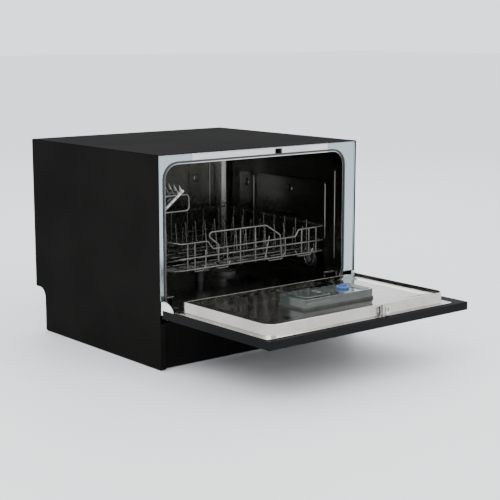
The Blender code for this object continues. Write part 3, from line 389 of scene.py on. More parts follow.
def evaluated(thing: bpy.types.Object) -> bpy.types.Mesh:
    """The plain mesh that an object's modifiers give."""
    bpy.context.view_layer.update()
    return bpy.data.meshes.new_from_object(thing.evaluated_get(bpy.context.evaluated_depsgraph_get()))


def middle_of(node: str) -> Vector:
    """Middle of a frame node's box."""
    low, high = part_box(node)
    return (low + high) / 2


def raised(level: float) -> Matrix:
    """Place on a level surface that faces up."""
    return Matrix.Translation((0, 0, level))


def rounded(x0: float, y0: float, x1: float, y1: float, radius: float, steps: int = 8) -> Outline:
    """Outline of a rectangle with round corners, counter-clockwise from the +X +Y one.

    Args:
        x0, y0, x1, y1: The rectangle.
        radius: Corner radius.
        steps: Stretches in each corner.

    Returns:
        The outline's points.
    """
    points = []
    ends = ((x1, y1, -1, -1), (x0, y1, 1, -1), (x0, y0, 1, 1), (x1, y0, -1, 1))
    for quarter, (x, y, in_x, in_y) in enumerate(ends):
        cx, cy = x + in_x * radius, y + in_y * radius
        for step in range(steps + 1):
            turn = math.pi / 2 * (quarter + step / steps)
            points.append((cx + radius * math.cos(turn), cy + radius * math.sin(turn)))
    return points


def circle(cx: float, cy: float, radius: float, steps: int = 24) -> Outline:
    """Points on a circle."""
    turns = (2 * math.pi * step / steps for step in range(steps))
    return [(cx + radius * math.cos(turn), cy + radius * math.sin(turn)) for turn in turns]


def loft(bm: bmesh.types.BMesh, rings: Sequence[Sequence[Vector]]) -> None:
    """Skin closed rings of equal count in order and cap both ends."""
    rows = [[bm.verts.new(point) for point in ring] for ring in rings]
    for low, high in zip(rows, rows[1:]):
        for i in range(len(low)):
            j = (i + 1) % len(low)
            bm.faces.new((low[i], low[j], high[j], high[i]))
    bm.faces.new(list(reversed(rows[0])))
    bm.faces.new(rows[-1])


def turn_to(axis: str) -> Matrix:
    """Turn that brings +Z onto "X", "Y", "Z", "-X", "-Y" or "-Z"."""
    way = Vector({"X": (1, 0, 0), "Y": (0, 1, 0), "Z": (0, 0, 1)}[axis[-1]])
    return (-way if axis[0] == "-" else way).to_track_quat("Z", "Y").to_matrix().to_4x4()


def lathe(bm: bmesh.types.BMesh, profile: Sequence[tuple[float, float]], centre: Place,
          axis: str = "Z", steps: int = 32) -> None:
    """Add a turned body.

    Args:
        bm: The mesh that grows.
        profile: (radius, height) points from one end on the axis to the other.
        centre: Where height 0 lies.
        axis: Direction of the height.
        steps: Stretches round the axis.
    """
    turn = Matrix.Translation(centre) @ turn_to(axis)
    rings = [[turn @ Vector((x, y, height)) for x, y in circle(0, 0, radius, steps)]
             for radius, height in profile if radius > 0]
    loft(bm, rings)


def storeys(outline: Outline, levels: Iterable[float]) -> list[list[Vector]]:
    """One outline repeated at several heights, ready to loft."""
    return [[Vector((x, y, z)) for x, y in outline] for z in levels]


def box(bm: bmesh.types.BMesh, low: Sequence[float], high: Sequence[float]) -> None:
    """Add a plain box; a Bevel modifier rounds it later."""
    corners = [(low[0], low[1]), (high[0], low[1]), (high[0], high[1]), (low[0], high[1])]
    loft(bm, storeys(corners, (low[2], high[2])))


def tube(bm: bmesh.types.BMesh, section: Sequence[tuple[float, float]], centre: Place, axis: str = "Z",
         steps: int = 40) -> None:
    """Add a ring turned from a closed section of (radius, height) points."""
    turn = Matrix.Translation(centre) @ turn_to(axis)
    rings = [[bm.verts.new(turn @ Vector((x, y, height))) for x, y in circle(0, 0, radius, steps)]
             for radius, height in section]
    for low, high in zip(rings, rings[1:] + rings[:1]):
        for i in range(steps):
            j = (i + 1) % steps
            bm.faces.new((low[i], low[j], high[j], high[i]))


def wall(face: str, level: float) -> Matrix:
    """Place on a flat wall: local X runs along it, local Y up it (along Y on a floor), Z out of it."""
    axis = Vector({"X": (1, 0, 0), "Y": (0, 1, 0), "Z": (0, 0, 1)}[face[-1]])
    normal = -axis if face[0] == "-" else axis
    up = Vector((0, 1, 0)) if face[-1] == "Z" else Vector((0, 0, 1))
    turn = Matrix((up.cross(normal), up, normal)).transposed().to_4x4()
    return Matrix.Translation(axis * level) @ turn


def carve(bm: bmesh.types.BMesh, cutter: bmesh.types.BMesh) -> None:
    """Cut one closed mesh out of another and free the cutter."""
    things = []
    for source in (bm, cutter):
        bmesh.ops.recalc_face_normals(source, faces=source.faces)
        things.append(add_object("carving", mesh_of("carving", source)))
    cutter.free()
    step = things[0].modifiers.new("cut", "BOOLEAN")
    step.operation, step.object = "DIFFERENCE", things[1]
    made = evaluated(things[0])
    bm.clear()
    bm.from_mesh(made)
    for thing in things:
        bpy.data.objects.remove(thing)


def pillow(bm: bmesh.types.BMesh, outline: Sequence[tuple[float, float]], turn: Matrix,
           height: float, slope: float, steps: int = 3) -> None:
    """Add a pressed panel: an outline raised by height, its edge rolled over slope."""
    cu = sum(u for u, _ in outline) / len(outline)
    cv = sum(v for _, v in outline) / len(outline)
    half_u = max(abs(u - cu) for u, _ in outline)
    half_v = max(abs(v - cv) for _, v in outline)
    rings = []
    for step in range(steps + 1):
        share = math.pi / 2 * step / steps
        inset, rise = slope * (1 - math.cos(share)), height * math.sin(share)
        rings.append([turn @ Vector((cu + (u - cu) * (1 - inset / half_u),
                                     cv + (v - cv) * (1 - inset / half_v), rise)) for u, v in outline])
    loft(bm, rings)


# ---------------------------------------------------------------- Geometry Nodes
class Tree:
    """A Geometry Nodes tree with named inputs, built once and run on many meshes."""

    def __init__(self, name: str, inputs: dict[str, str]) -> None:
        """Make the tree's outside.

        Args:
            name: Its name.
            inputs: Socket type of each named input.
        """
        self.tree = bpy.data.node_groups.new(name, "GeometryNodeTree")
        face = self.tree.interface
        face.new_socket("Geometry", in_out="INPUT", socket_type="NodeSocketGeometry")
        for label, kind in inputs.items():
            face.new_socket(label, in_out="INPUT", socket_type=kind)
        face.new_socket("Geometry", in_out="OUTPUT", socket_type="NodeSocketGeometry")
        self.source = self.tree.nodes.new("NodeGroupInput")
        self.sink = self.tree.nodes.new("NodeGroupOutput")

    def given(self, label: str) -> bpy.types.NodeSocket:
        """The socket of a named input."""
        return self.source.outputs[label]

    def node(self, kind: str, settings: dict[str, object] | None = None,
             inputs: dict[str, object] | None = None, output: str | int = 0) -> bpy.types.NodeSocket:
        """Add a node, feed its inputs and return one of its outputs."""
        made = self.tree.nodes.new(kind)
        for key, value in (settings or {}).items():
            setattr(made, key, value)
        for key, value in (inputs or {}).items():
            socket = made.inputs[key]
            for one in value if isinstance(value, list) else [value]:
                if isinstance(one, bpy.types.NodeSocket):
                    self.tree.links.new(one, socket)
                else:
                    socket.default_value = one
        return made.outputs[output]

    def close(self, shape: bpy.types.NodeSocket) -> None:
        """End the tree with real geometry in its material."""
        real = self.node("GeometryNodeRealizeInstances", None, {"Geometry": shape})
        dressed = self.node("GeometryNodeSetMaterial", None,
                            {"Geometry": real, "Material": self.given("Material")})
        self.tree.links.new(dressed, self.sink.inputs["Geometry"])

    def run(self, name: str, mesh: bpy.types.Mesh, values: dict[str, object]) -> bpy.types.Mesh:
        """Run the tree on a mesh.

        Args:
            name: Name of the result.
            mesh: The mesh that goes in.
            values: Value of each named input.

        Returns:
            The plain mesh that comes out.
        """
        carrier = add_object(name + "_carrier", mesh)
        step = carrier.modifiers.new("nodes", "NODES")
        step.node_group = self.tree
        known = {item.name: item.identifier for item in self.tree.interface.items_tree
                 if item.item_type == "SOCKET" and item.in_out == "INPUT"}
        for label, value in values.items():
            step[known[label]] = value
        made = evaluated(carrier)
        made.name = name
        carrier.modifiers.remove(step)
        bpy.data.objects.remove(carrier)
        return made


def wire_tree() -> Tree:
    """Tree that rounds the corners of edge chains and sweeps a round, round-ended wire along."""
    tree = Tree("bent_wire", {"Radius": "NodeSocketFloat", "Bend": "NodeSocketFloat",
                              "Sides": "NodeSocketInt", "Material": "NodeSocketMaterial"})
    line = tree.node("GeometryNodeMeshToCurve", None, {"Mesh": tree.given("Geometry")})
    bent = tree.node("GeometryNodeFilletCurve", {"mode": "POLY"},
                     {"Curve": line, "Count": 4, "Radius": tree.given("Bend"), "Limit Radius": True})
    ring = tree.node("GeometryNodeCurvePrimitiveCircle", None,
                     {"Resolution": tree.given("Sides"), "Radius": tree.given("Radius")})
    rod = tree.node("GeometryNodeCurveToMesh", None,
                    {"Curve": bent, "Profile Curve": ring, "Fill Caps": True})
    tip = tree.node("GeometryNodeMeshIcoSphere", None, {"Radius": tree.given("Radius"), "Subdivisions": 2})
    ends = tree.node("GeometryNodeCurveEndpointSelection")
    tips = tree.node("GeometryNodeInstanceOnPoints", None,
                     {"Points": bent, "Selection": ends, "Instance": tip})
    whole = tree.node("GeometryNodeJoinGeometry", None, {"Geometry": [rod, tips]})
    tree.close(tree.node("GeometryNodeSetShadeSmooth", None, {"Geometry": whole}))
    return tree


def repeat_tree() -> Tree:
    """Tree that puts a copy of one template at each point, turned by the point's own turn."""
    tree = Tree("repeat", {"Template": "NodeSocketObject", "Material": "NodeSocketMaterial"})
    shape = tree.node("GeometryNodeObjectInfo", None, {"Object": tree.given("Template")}, "Geometry")
    turn = tree.node("GeometryNodeInputNamedAttribute", {"data_type": "FLOAT_VECTOR"}, {"Name": "turn"},
                     "Attribute")
    angle = tree.node("FunctionNodeEulerToRotation", None, {"Euler": turn})
    points = tree.node("GeometryNodeMeshToPoints", None, {"Mesh": tree.given("Geometry")})
    copies = tree.node("GeometryNodeInstanceOnPoints", None,
                       {"Points": points, "Instance": shape, "Rotation": angle})
    tree.close(copies)
    return tree


# ---------------------------------------------------------------- workshop
@dataclass
class Spot:
    """One place of a repeated part: a point and the direction its +Z faces."""

    point: Place
    axis: str = "Z"
    spin: float = 0.0


@dataclass
class Workshop:
    """Turns finished meshes into pieces that ride on the frame's bodies."""

    frame: dict[str, object]
    materials: dict[Palette, bpy.types.Material] = field(init=False)
    slots: dict[str, str] = field(init=False)
    wires: Tree = field(default_factory=wire_tree)
    copies: Tree = field(default_factory=repeat_tree)
    stood_for: set[str] = field(default_factory=set)

    def __post_init__(self) -> None:
        """Build every material once and note each node's slot."""
        self.materials = {entry: entry.value.build() for entry in Palette}
        parts = self.frame["record"]["subparts"]
        self.slots = {part["node"]: part["material_slot"] for part in parts}

    def body_of(self, node: str) -> str:
        """The body a node belongs to."""
        return self.frame["nodes"][node]["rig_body"]

    def finish_piece(self, thing: bpy.types.Object, finish: Palette, body: str,
                     replaces: Iterable[str] = (), sharp: float = 35.0) -> bpy.types.Object:
        """Dress a mesh object, let it ride and report it.

        Args:
            thing: The object, in place.
            finish: Its surface.
            body: The body it rides on.
            replaces: Nodes that it stands for.
            sharp: Edges sharper than this many degrees stay sharp.

        Returns:
            The same object.
        """
        if not thing.data.materials:
            thing.data.materials.append(self.materials[finish])
        thing.data.shade_smooth()
        thing.data.set_sharp_from_angle(angle=math.radians(sharp))
        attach(thing, body)
        names = tuple(replaces)
        if names:
            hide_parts(*names)
            self.stood_for.update(names)
        LOG.info("%s rides on %s", thing.name, body)
        return thing

    def piece(self, name: str, bm: bmesh.types.BMesh, finish: Palette, body: str,
              replaces: Iterable[str] = (), bevel: float = 0.0, sharp: float = 35.0) -> bpy.types.Object:
        """Make a piece from a mesh under construction, its edges rounded by bevel."""
        bmesh.ops.recalc_face_normals(bm, faces=bm.faces)
        thing = add_object(name, mesh_of(name, bm))
        bm.free()
        if bevel:
            self.round_edges(thing, bevel)
        return self.finish_piece(thing, finish, body, replaces, sharp)

    def round_edges(self, thing: bpy.types.Object, width: float, segments: int = 2) -> None:
        """Add a Bevel modifier for the sharp edges."""
        step = thing.modifiers.new("round_edges", "BEVEL")
        step.width = width
        step.segments = segments
        step.limit_method = "ANGLE"
        step.angle_limit = SHARP_EDGE
        step.harden_normals = True

    def soften(self, node: str, finish: Palette, width: float = 0.0005) -> bpy.types.Object:
        """Stand in for a frame node with a merged copy whose edges are rounded."""
        bm = bmesh.new()
        bm.from_mesh(self.frame["nodes"][node].data)
        bmesh.ops.remove_doubles(bm, verts=bm.verts, dist=1e-5)
        bmesh.ops.dissolve_limit(bm, angle_limit=math.radians(0.5), verts=bm.verts, edges=bm.edges)
        thing = add_object(f"{node}_finished", mesh_of(f"{node}_finished", bm))
        bm.free()
        thing.data.materials.clear()
        self.round_edges(thing, width)
        return self.finish_piece(thing, finish, self.body_of(node), (node,))

    def bend(self, name: str, paths: Iterable[Sequence[Sequence[float]]], radius: float, finish: Palette,
             body: str, replaces: Iterable[str] = (), bend: float = 0.006,
             sides: int = 10) -> bpy.types.Object:
        """Make round wires along paths, their corners bent at a radius."""
        points, edges = [], []
        for path in paths:
            start = len(points)
            points += [tuple(point) for point in path]
            edges += [(start + i, start + i + 1) for i in range(len(path) - 1)]
        mesh = bpy.data.meshes.new(name + "_lines")
        mesh.from_pydata(points, edges, [])
        made = self.wires.run(name, mesh, {"Radius": radius, "Bend": bend, "Sides": sides,
                                           "Material": self.materials[finish]})
        return self.finish_piece(add_object(name, made), finish, body, replaces, 60.0)

    def repeat(self, name: str, template: bmesh.types.BMesh, spots: Sequence[Spot], finish: Palette,
               body: str, replaces: Iterable[str] = (), bevel: float = 0.0) -> bpy.types.Object:
        """Put a copy of a template at every spot, as one piece."""
        bmesh.ops.recalc_face_normals(template, faces=template.faces)
        model = add_object(name + "_template", mesh_of(name + "_template", template))
        template.free()
        if bevel:
            self.round_edges(model, bevel)
        mesh = bpy.data.meshes.new(name + "_spots")
        mesh.from_pydata([spot.point for spot in spots], [], [])
        turns = mesh.attributes.new("turn", "FLOAT_VECTOR", "POINT")
        for index, spot in enumerate(spots):
            turn = turn_to(spot.axis) @ Matrix.Rotation(spot.spin, 4, "Z")
            turns.data[index].vector = turn.to_euler()
        made = self.copies.run(name, mesh, {"Template": model, "Material": self.materials[finish]})
        bpy.data.objects.remove(model)
        return self.finish_piece(add_object(name, made), finish, body, replaces)

    def dress_rest(self) -> None:
        """Give every frame node that still shows the finish of its slot."""
        for name, node in self.frame["nodes"].items():
            if name not in self.stood_for:
                node.data.materials.clear()
                node.data.materials.append(self.materials[BY_SLOT[self.slots[name]]])
                LOG.info("%s dressed", name)


@dataclass
class Assembly:
    """A sub-assembly that makes its pieces in the shop."""

    shop: Workshop

    def soften_all(self, nodes: Iterable[str], width: float) -> None:
        """Round the edges of frame nodes and keep the finish of their slots."""
        for node in nodes:
            self.shop.soften(node, BY_SLOT[self.shop.slots[node]], width)


def screw_head(radius: float = 0.0032, height: float = 0.0014) -> bmesh.types.BMesh:
    """A domed screw head with a cross recess, standing on +Z."""
    bm = bmesh.new()
    profile = [(radius, 0.0), (radius, height * 0.35), (radius * 0.86, height * 0.75),
               (radius * 0.55, height * 0.97), (radius * 0.30, height)]
    lathe(bm, profile, (0, 0, 0), steps=18)
    arm, wide = radius * 0.52, radius * 0.10
    for long_x in (True, False):
        x, y = (arm, wide) if long_x else (wide, arm)
        box(bm, (-x, -y, height * 0.90), (x, y, height * 1.04))
    return bm


# ---------------------------------------------------------------- stage
@dataclass
class Studio:
    """Pale floor, soft lights and the camera."""

    eye: Place = (-1.7051, -2.2824, 0.6893)
    aim: Place = (0.6250, 0.7612, -0.1731)
    lens: float = 89.5
    reach: float = 30.0
    floor_tone: float = 0.86
    sky_tint: Colour = (0.93, 0.96, 1.0)
    sky_strength: float = 1.9
    lit_point: Place = (0.0, -0.1, 0.25)
    lamps: tuple[tuple[Place, float, float], ...] = (
        ((-1.9, -1.1, 2.3), 1.8, 38.0),
        ((0.9, -2.4, 2.0), 1.6, 26.0),
        ((1.8, 2.0, 2.2), 2.0, 22.0),
    )

    def build(self) -> None:
        """Set the stage."""
        self.camera()
        self.floor()
        self.sky()
        for index, (place, size, power) in enumerate(self.lamps):
            self.lamp(f"softbox_{index + 1}", place, size, power)

    def camera(self) -> None:
        """Camera a little above the cabinet, looking along its left side and the open door."""
        lens = bpy.data.cameras.new("camera")
        lens.lens = self.lens
        holder = add_object("camera", lens)
        holder.location = self.eye
        holder.rotation_euler = Vector(self.aim).to_track_quat("-Z", "Y").to_euler()
        bpy.context.scene.camera = holder

    def floor(self) -> None:
        """Pale floor under the cabinet."""
        mesh = bpy.data.meshes.new("floor")
        corners = [(x * self.reach, y * self.reach, 0) for x, y in ((-1, -1), (1, -1), (1, 1), (-1, 1))]
        mesh.from_pydata(corners, [], [(0, 1, 2, 3)])
        graph = Graph("pale_floor")
        graph.surface(Base_Color=(self.floor_tone,) * 3, Roughness=0.55)
        mesh.materials.append(graph.material)
        ground = add_object("floor", mesh)

    def sky(self) -> None:
        """Even white surroundings."""
        world = bpy.data.worlds.new("studio")
        world.use_nodes = True
        back = world.node_tree.nodes["Background"]
        back.inputs["Color"].default_value = (*self.sky_tint, 1.0)
        back.inputs["Strength"].default_value = self.sky_strength
        bpy.context.scene.world = world

    def lamp(self, name: str, place: Place, size: float, power: float) -> None:
        """One square softbox that faces the machine."""
        light = bpy.data.lights.new(name, "AREA")
        light.size = size
        light.energy = power
        holder = add_object(name, light)
        holder.location = place
        way = Vector(self.lit_point) - Vector(place)
        holder.rotation_euler = way.to_track_quat("-Z", "Y").to_euler()


# ---------------------------------------------------------------- cabinet
@dataclass
class Cabinet(Assembly):
    """Painted sheets round the machine with their fasteners, louvres and base tray."""

    louvre_rows: int = 8
    louvre_width: float = 0.070
    louvre_pitch: float = 0.010
    louvre_columns: tuple[float, ...] = (-0.10, 0.10)
    louvre_drop: float = 0.115
    bead_columns: tuple[float, ...] = (-0.225, 0.225)
    bead_foot: float = 0.150
    bead_half: float = 0.005
    screw_inset: float = 0.012
    screw_drop: float = 0.014
    screw_levels: tuple[float, ...] = (0.135, 0.235, 0.335)
    screw_columns: tuple[float, ...] = (-0.13, 0.0, 0.13)

    def build(self) -> None:
        """Make every panel and what is pressed or screwed into it."""
        self.soften_all(("top_panel", "side_panel_left", "side_panel_right", "rear_panel", "kick_plate",
                         "base_tray"), 0.0005)
        self.louvres()
        self.screws()

    def louvres(self) -> None:
        """Two columns of pressed louvres and two stiffening beads in the rear panel."""
        _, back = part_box("rear_panel")
        bm = bmesh.new()
        blade = rounded(-self.louvre_width / 2, -0.0025, self.louvre_width / 2, 0.0025, 0.0022, 3)
        pillow(bm, blade, Matrix(), 0.0022, 0.0018, 2)
        first = back.z - self.louvre_drop - self.louvre_rows / 2 * self.louvre_pitch
        spots = [Spot((x, back.y - SUNK, first + row * self.louvre_pitch), "Y")
                 for x in self.louvre_columns for row in range(self.louvre_rows)]
        self.shop.repeat("rear_louvres", bm, spots, Palette.PAINT, "cabinet")
        beads = bmesh.new()
        for x in self.bead_columns:
            bead = rounded(x - self.bead_half, self.bead_foot, x + self.bead_half, back.z - 0.030, 0.0045, 4)
            pillow(beads, bead, wall("Y", back.y - SUNK), 0.0018, 0.0020)
        self.shop.piece("rear_beads", beads, Palette.PAINT, "cabinet")

    def screws(self) -> None:
        """Screws along the rear panel's edges."""
        low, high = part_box("rear_panel")
        top = high.z - self.screw_drop
        spots = [Spot((x, high.y, z), "Y", 0.5 * x + z)
                 for x in (low.x + self.screw_inset, high.x - self.screw_inset)
                 for z in (*self.screw_levels, top)]
        spots += [Spot((x, high.y, top), "Y", x) for x in self.screw_columns]
        self.shop.repeat("cabinet_screws", screw_head(), spots, Palette.SCREW, "cabinet")


@dataclass
class FrontFrame(Assembly):
    """Bright sheet round the opening, its plate seams, the seal, the latch and the hinge brackets."""

    seams: tuple[float, float] = FRAME_SEAMS
    seam_width: float = 0.0007
    edge_inset: float = 0.0016
    edge_radius: float = 0.0011
    edge_foot: float = 0.149
    slot_half: float = 0.0090
    slot_reach: float = 0.0112

    def build(self) -> None:
        """Make the frame and what it carries."""
        self.shop.soften("front_frame", Palette.FRAME, 0.0005)
        self.shop.soften("door_gasket", Palette.RUBBER, 0.0008)
        self.shop.soften("latch_housing", Palette.DARK, 0.0006)
        for side in ("left", "right"):
            self.shop.soften(f"hinge_bracket_{side}", Palette.ZINC, 0.0003)
        self.joints()
        self.trim()

    def joints(self) -> None:
        """Dark seams where the top plate meets the corner plates."""
        low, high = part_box("front_frame")
        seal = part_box("door_gasket")[1]
        bm = bmesh.new()
        for x in self.seams:
            box(bm, (x - self.seam_width / 2, low.y - 0.00008, seal.z + 0.0004),
                (x + self.seam_width / 2, low.y + 0.0004, high.z - 0.0004))
        self.shop.piece("frame_seams", bm, Palette.SEAM, "cabinet")

    def trim(self) -> None:
        """Rolled edge along the frame's outer side and a bezel round the latch slot."""
        low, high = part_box("front_frame")
        left, right, top = low.x + self.edge_inset, high.x - self.edge_inset, high.z - self.edge_inset
        y = low.y - self.edge_radius * 0.35
        path = [(left, y, self.edge_foot), (left, y, top), (right, y, top), (right, y, self.edge_foot)]
        self.shop.bend("frame_rolled_edge", [path], self.edge_radius, Palette.FRAME, "cabinet", bend=0.004)
        middle = middle_of("latch_housing").x
        left, right = middle - self.slot_half, middle + self.slot_half
        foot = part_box("door_gasket")[1].z - 0.001
        under, over = foot + 0.0006, foot + self.slot_reach
        ring = [(left, y, under), (left, y, over), (right, y, over), (right, y, under)]
        self.shop.bend("latch_slot_edge", [ring + ring[:1]], 0.0007, Palette.DARK, "cabinet", bend=0.0015)


# ---------------------------------------------------------------- tub
@dataclass
class Tub(Assembly):
    """Deep-drawn tub with rolled rear corners, pressed panels and rack rails."""

    sheet: float = 0.0012
    corner: float = 0.0332
    rear_roll: float = 0.024
    rise: float = 0.0018
    hole_slack: float = 0.0006

    def build(self) -> None:
        """Make the shell, its pressings and the rails."""
        self.shell()
        self.pressings()
        for side in ("left", "right"):
            self.shop.soften(f"rack_rail_{side}", Palette.TUB, 0.0008)

    def ring(self, inset: float, y: float) -> list[Vector]:
        """The shell's outline at a depth, drawn in by inset."""
        low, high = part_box("tub")
        shape = rounded(low.x + inset, low.z + inset, high.x - inset, high.z - inset,
                        self.corner - inset, 10)
        return [Vector((u, y, v)) for u, v in shape]

    def shell(self) -> None:
        """Closed shell, open at the front, with holes for the sump, the hub and the salt cap."""
        low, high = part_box("tub")
        roll, steps = self.rear_roll, 6
        turns = [math.pi / 2 * step / steps for step in range(steps + 1)]
        rings = [self.ring(roll * (1 - math.sin(turn)), high.y - roll * (1 - math.cos(turn)))
                 for turn in turns]
        rings += [self.ring(0.0, low.y), self.ring(self.sheet, low.y)]
        inner = roll - self.sheet
        rings += [self.ring(self.sheet + inner * (1 - math.cos(turn)),
                            high.y - roll + inner * math.sin(turn)) for turn in turns]
        bm = bmesh.new()
        loft(bm, rings)
        holes = bmesh.new()
        for node in ("filter_plate", "spray_hub", "salt_cap"):
            lo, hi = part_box(node)
            radius = (hi.x - lo.x) / 2 + self.hole_slack
            lathe(holes, [(radius, -0.02), (radius, 0.006)], (*middle_of(node).xy, low.z), steps=48)
        carve(bm, holes)
        self.shop.piece("tub_shell", bm, Palette.TUB, "cabinet", ("tub",), sharp=50)

    def pressings(self) -> None:
        """Rounded panels, ribs and round marks pressed into the walls."""
        low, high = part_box("tub")
        wall_in = self.sheet + SUNK
        bm = bmesh.new()
        back = wall("-Y", high.y - wall_in)
        middle = (low.x + high.x) / 2
        for x0, x1 in ((low.x + 0.040, middle - 0.030), (middle - 0.012, high.x - 0.118)):
            pillow(bm, rounded(x0, low.z + 0.075, x1, high.z - 0.045, 0.020), back, self.rise, 0.006)
        bead = rounded(high.x - 0.0565, low.z + 0.110, high.x - 0.0520, high.z - 0.020, 0.0022, 3)
        pillow(bm, bead, back, self.rise, 0.0016)
        for x, z in ((middle - 0.05, low.z + 0.050), (middle + 0.05, low.z + 0.050),
                     (high.x - 0.096, high.z - 0.096)):
            pillow(bm, circle(x, z, 0.010), back, self.rise, 0.003)
        for face, level, sign in (("-X", high.x - wall_in, -1), ("X", low.x + wall_in, 1)):
            side = wall(face, level)
            near, far = sign * (low.y + 0.050), sign * (high.y - 0.050)
            u0, u1 = min(near, far), max(near, far)
            split = sign * (high.y - 0.118)
            for v0, v1 in ((min(split, far), max(split, far)), (min(near, split), max(near, split))):
                frame_line = rounded(v0 + 0.006, low.z + 0.085, v1 - 0.006, high.z - 0.076, 0.014)
                pillow(bm, frame_line, side, self.rise, 0.0025)
                pillow(bm, circle((v0 + v1) / 2, high.z - 0.106, 0.0095), side, self.rise * 2, 0.0025)
            for share in (0.18, 0.5, 0.82):
                pillow(bm, circle(u0 + (u1 - u0) * share, low.z + 0.058, 0.008), side, self.rise, 0.003)
            rib = sign * (low.y + 0.026)
            bead = rounded(rib - 0.0025, low.z + 0.050, rib + 0.0025, high.z - 0.050, 0.0024, 3)
            pillow(bm, bead, side, self.rise, 0.0016)
        panel = rounded(0.055 - high.x, low.y + 0.055, -low.x - 0.055, high.y - 0.055, 0.022)
        pillow(bm, panel, wall("-Z", high.z - wall_in), self.rise, 0.006)
        self.shop.piece("tub_pressings", bm, Palette.TUB, "cabinet")


# ---------------------------------------------------------------- wash parts
@dataclass
class WashParts(Assembly):
    """Spray arm, filter, sump and caps in the tub floor."""

    nozzles: int = 7
    hole_rings: int = 6
    first_ring: float = 0.0345
    ring_pitch: float = 0.0045
    hole_pitch: float = 0.0042

    def build(self) -> None:
        """Make them in the order in which they are fitted."""
        for node, finish in (("sump", Palette.DARK), ("filter_plate", Palette.TUB),
                             ("filter_cup", Palette.GREY), ("spray_hub", Palette.DARK),
                             ("salt_cap", Palette.DARK)):
            self.shop.soften(node, finish, 0.0006)
        self.arm()
        self.perforations()

    def arm(self) -> None:
        """Spray arm with a wing section, a spine, a ribbed boss and its jets."""
        low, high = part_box("spray_arm")
        cx, cy = middle_of("spray_arm").xy
        half_x, half_y, foot, top = (high.x - low.x) / 2, 0.0188, low.z + 0.0037, low.z + 0.0147
        bm = bmesh.new()
        rings = []
        for height, inset in ((0.0, 0.006), (0.25, 0.0015), (0.5, 0.0), (0.72, 0.0012), (0.90, 0.005),
                              (1.0, 0.010)):
            outline = rounded(cx - half_x + inset, cy - half_y + inset, cx + half_x - inset,
                              cy + half_y - inset, half_y - inset - 0.0005, 8)
            rings.append([Vector((x, y, foot + (top - 0.0018 - foot) * height)) for x, y in outline])
        loft(bm, rings)
        pillow(bm, rounded(cx - half_x + 0.030, cy - 0.0035, cx + half_x - 0.030, cy + 0.0035, 0.0033, 4),
               raised(top - 0.0022), 0.0022, 0.0022)
        lathe(bm, [(0.0245, low.z), (0.0265, low.z + 0.0025), (0.0265, low.z + 0.009),
                   (0.0235, high.z - 0.003), (0.0150, high.z - 0.0006), (0.0100, high.z - 0.0015),
                   (0.0080, high.z - 0.0040)], (cx, cy, 0))
        self.shop.piece("spray_arm_body", bm, Palette.GREY, "spray_arm", ("spray_arm",))
        jet = bmesh.new()
        lathe(jet, [(0.0042, 0.0), (0.0042, 0.0010), (0.0034, 0.0017), (0.0016, 0.0017), (0.0014, 0.0006)],
              (0, 0, 0), steps=14)
        spots = []
        for index in range(self.nozzles):
            reach = 0.046 + index * (half_x - 0.060) / (self.nozzles - 1)
            for sign in (-1, 1):
                side = 0.0085 * (1 if index % 2 else -1) * sign
                spots.append(Spot((cx + sign * reach, cy + side, top - 0.0026), "Z"))
        self.shop.repeat("spray_jets", jet, spots, Palette.DARK, "spray_arm")

    def perforations(self) -> None:
        """Fields of fine holes in the filter plate, as rings of small dark pits."""
        cx, cy = middle_of("filter_plate").xy
        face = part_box("filter_plate")[1].z
        pit = bmesh.new()
        lathe(pit, [(0.00085, 0.0), (0.00085, 0.00012)], (0, 0, 0), steps=8)
        spots = []
        for ring in range(self.hole_rings):
            radius = self.first_ring + ring * self.ring_pitch
            count = round(2 * math.pi * radius / self.hole_pitch)
            for index in range(count):
                turn = 2 * math.pi * (index + ring % 2 / 2) / count
                spots.append(Spot((cx + radius * math.cos(turn), cy + radius * math.sin(turn), face)))
        self.shop.repeat("filter_holes", pit, spots, Palette.SEAM, "cabinet")


# ---------------------------------------------------------------- machinery
@dataclass
class Fittings(Assembly):
    """What is screwed through the rear panel, and the machinery under the tub."""

    thread_radius: float = 0.0123

    def build(self) -> None:
        """Round every casing's edges and cut the threads and barbs."""
        self.soften_all(("wash_pump", "flow_heater", "drain_pump", "softener_tank", "water_path",
                         "inlet_valve", "drain_spigot", "cord_gland"), 0.0010)
        crest = bmesh.new()
        radius = self.thread_radius
        lathe(crest, [(radius, 0.0), (radius + 0.0009, 0.0006), (radius + 0.0009, 0.0009), (radius, 0.0015)],
              (0, 0, 0), steps=32)
        self.ridges("inlet_thread", "inlet_valve", crest, -0.0125, 0.0018, 6)
        barb = bmesh.new()
        lathe(barb, [(0.0098, 0.0), (0.0108, 0.0004), (0.0099, 0.0030)], (0, 0, 0), steps=28)
        self.ridges("drain_barbs", "drain_spigot", barb, -0.0135, 0.0040, 3)

    def ridges(self, name: str, node: str, ridge: bmesh.types.BMesh, start: float, pitch: float,
               count: int) -> None:
        """Turned ridges along a fitting.

        Args:
            name: Name of the piece.
            node: The fitting.
            ridge: One ridge round +Z.
            start: Where the first one stands, from the fitting's outer end.
            pitch: Distance between them.
            count: Their number.
        """
        middle, end = middle_of(node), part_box(node)[1].y
        spots = [Spot((middle.x, end + start + pitch * index, middle.z), "Y") for index in range(count)]
        self.shop.repeat(name, ridge, spots, BY_SLOT[self.shop.slots[node]], "cabinet")


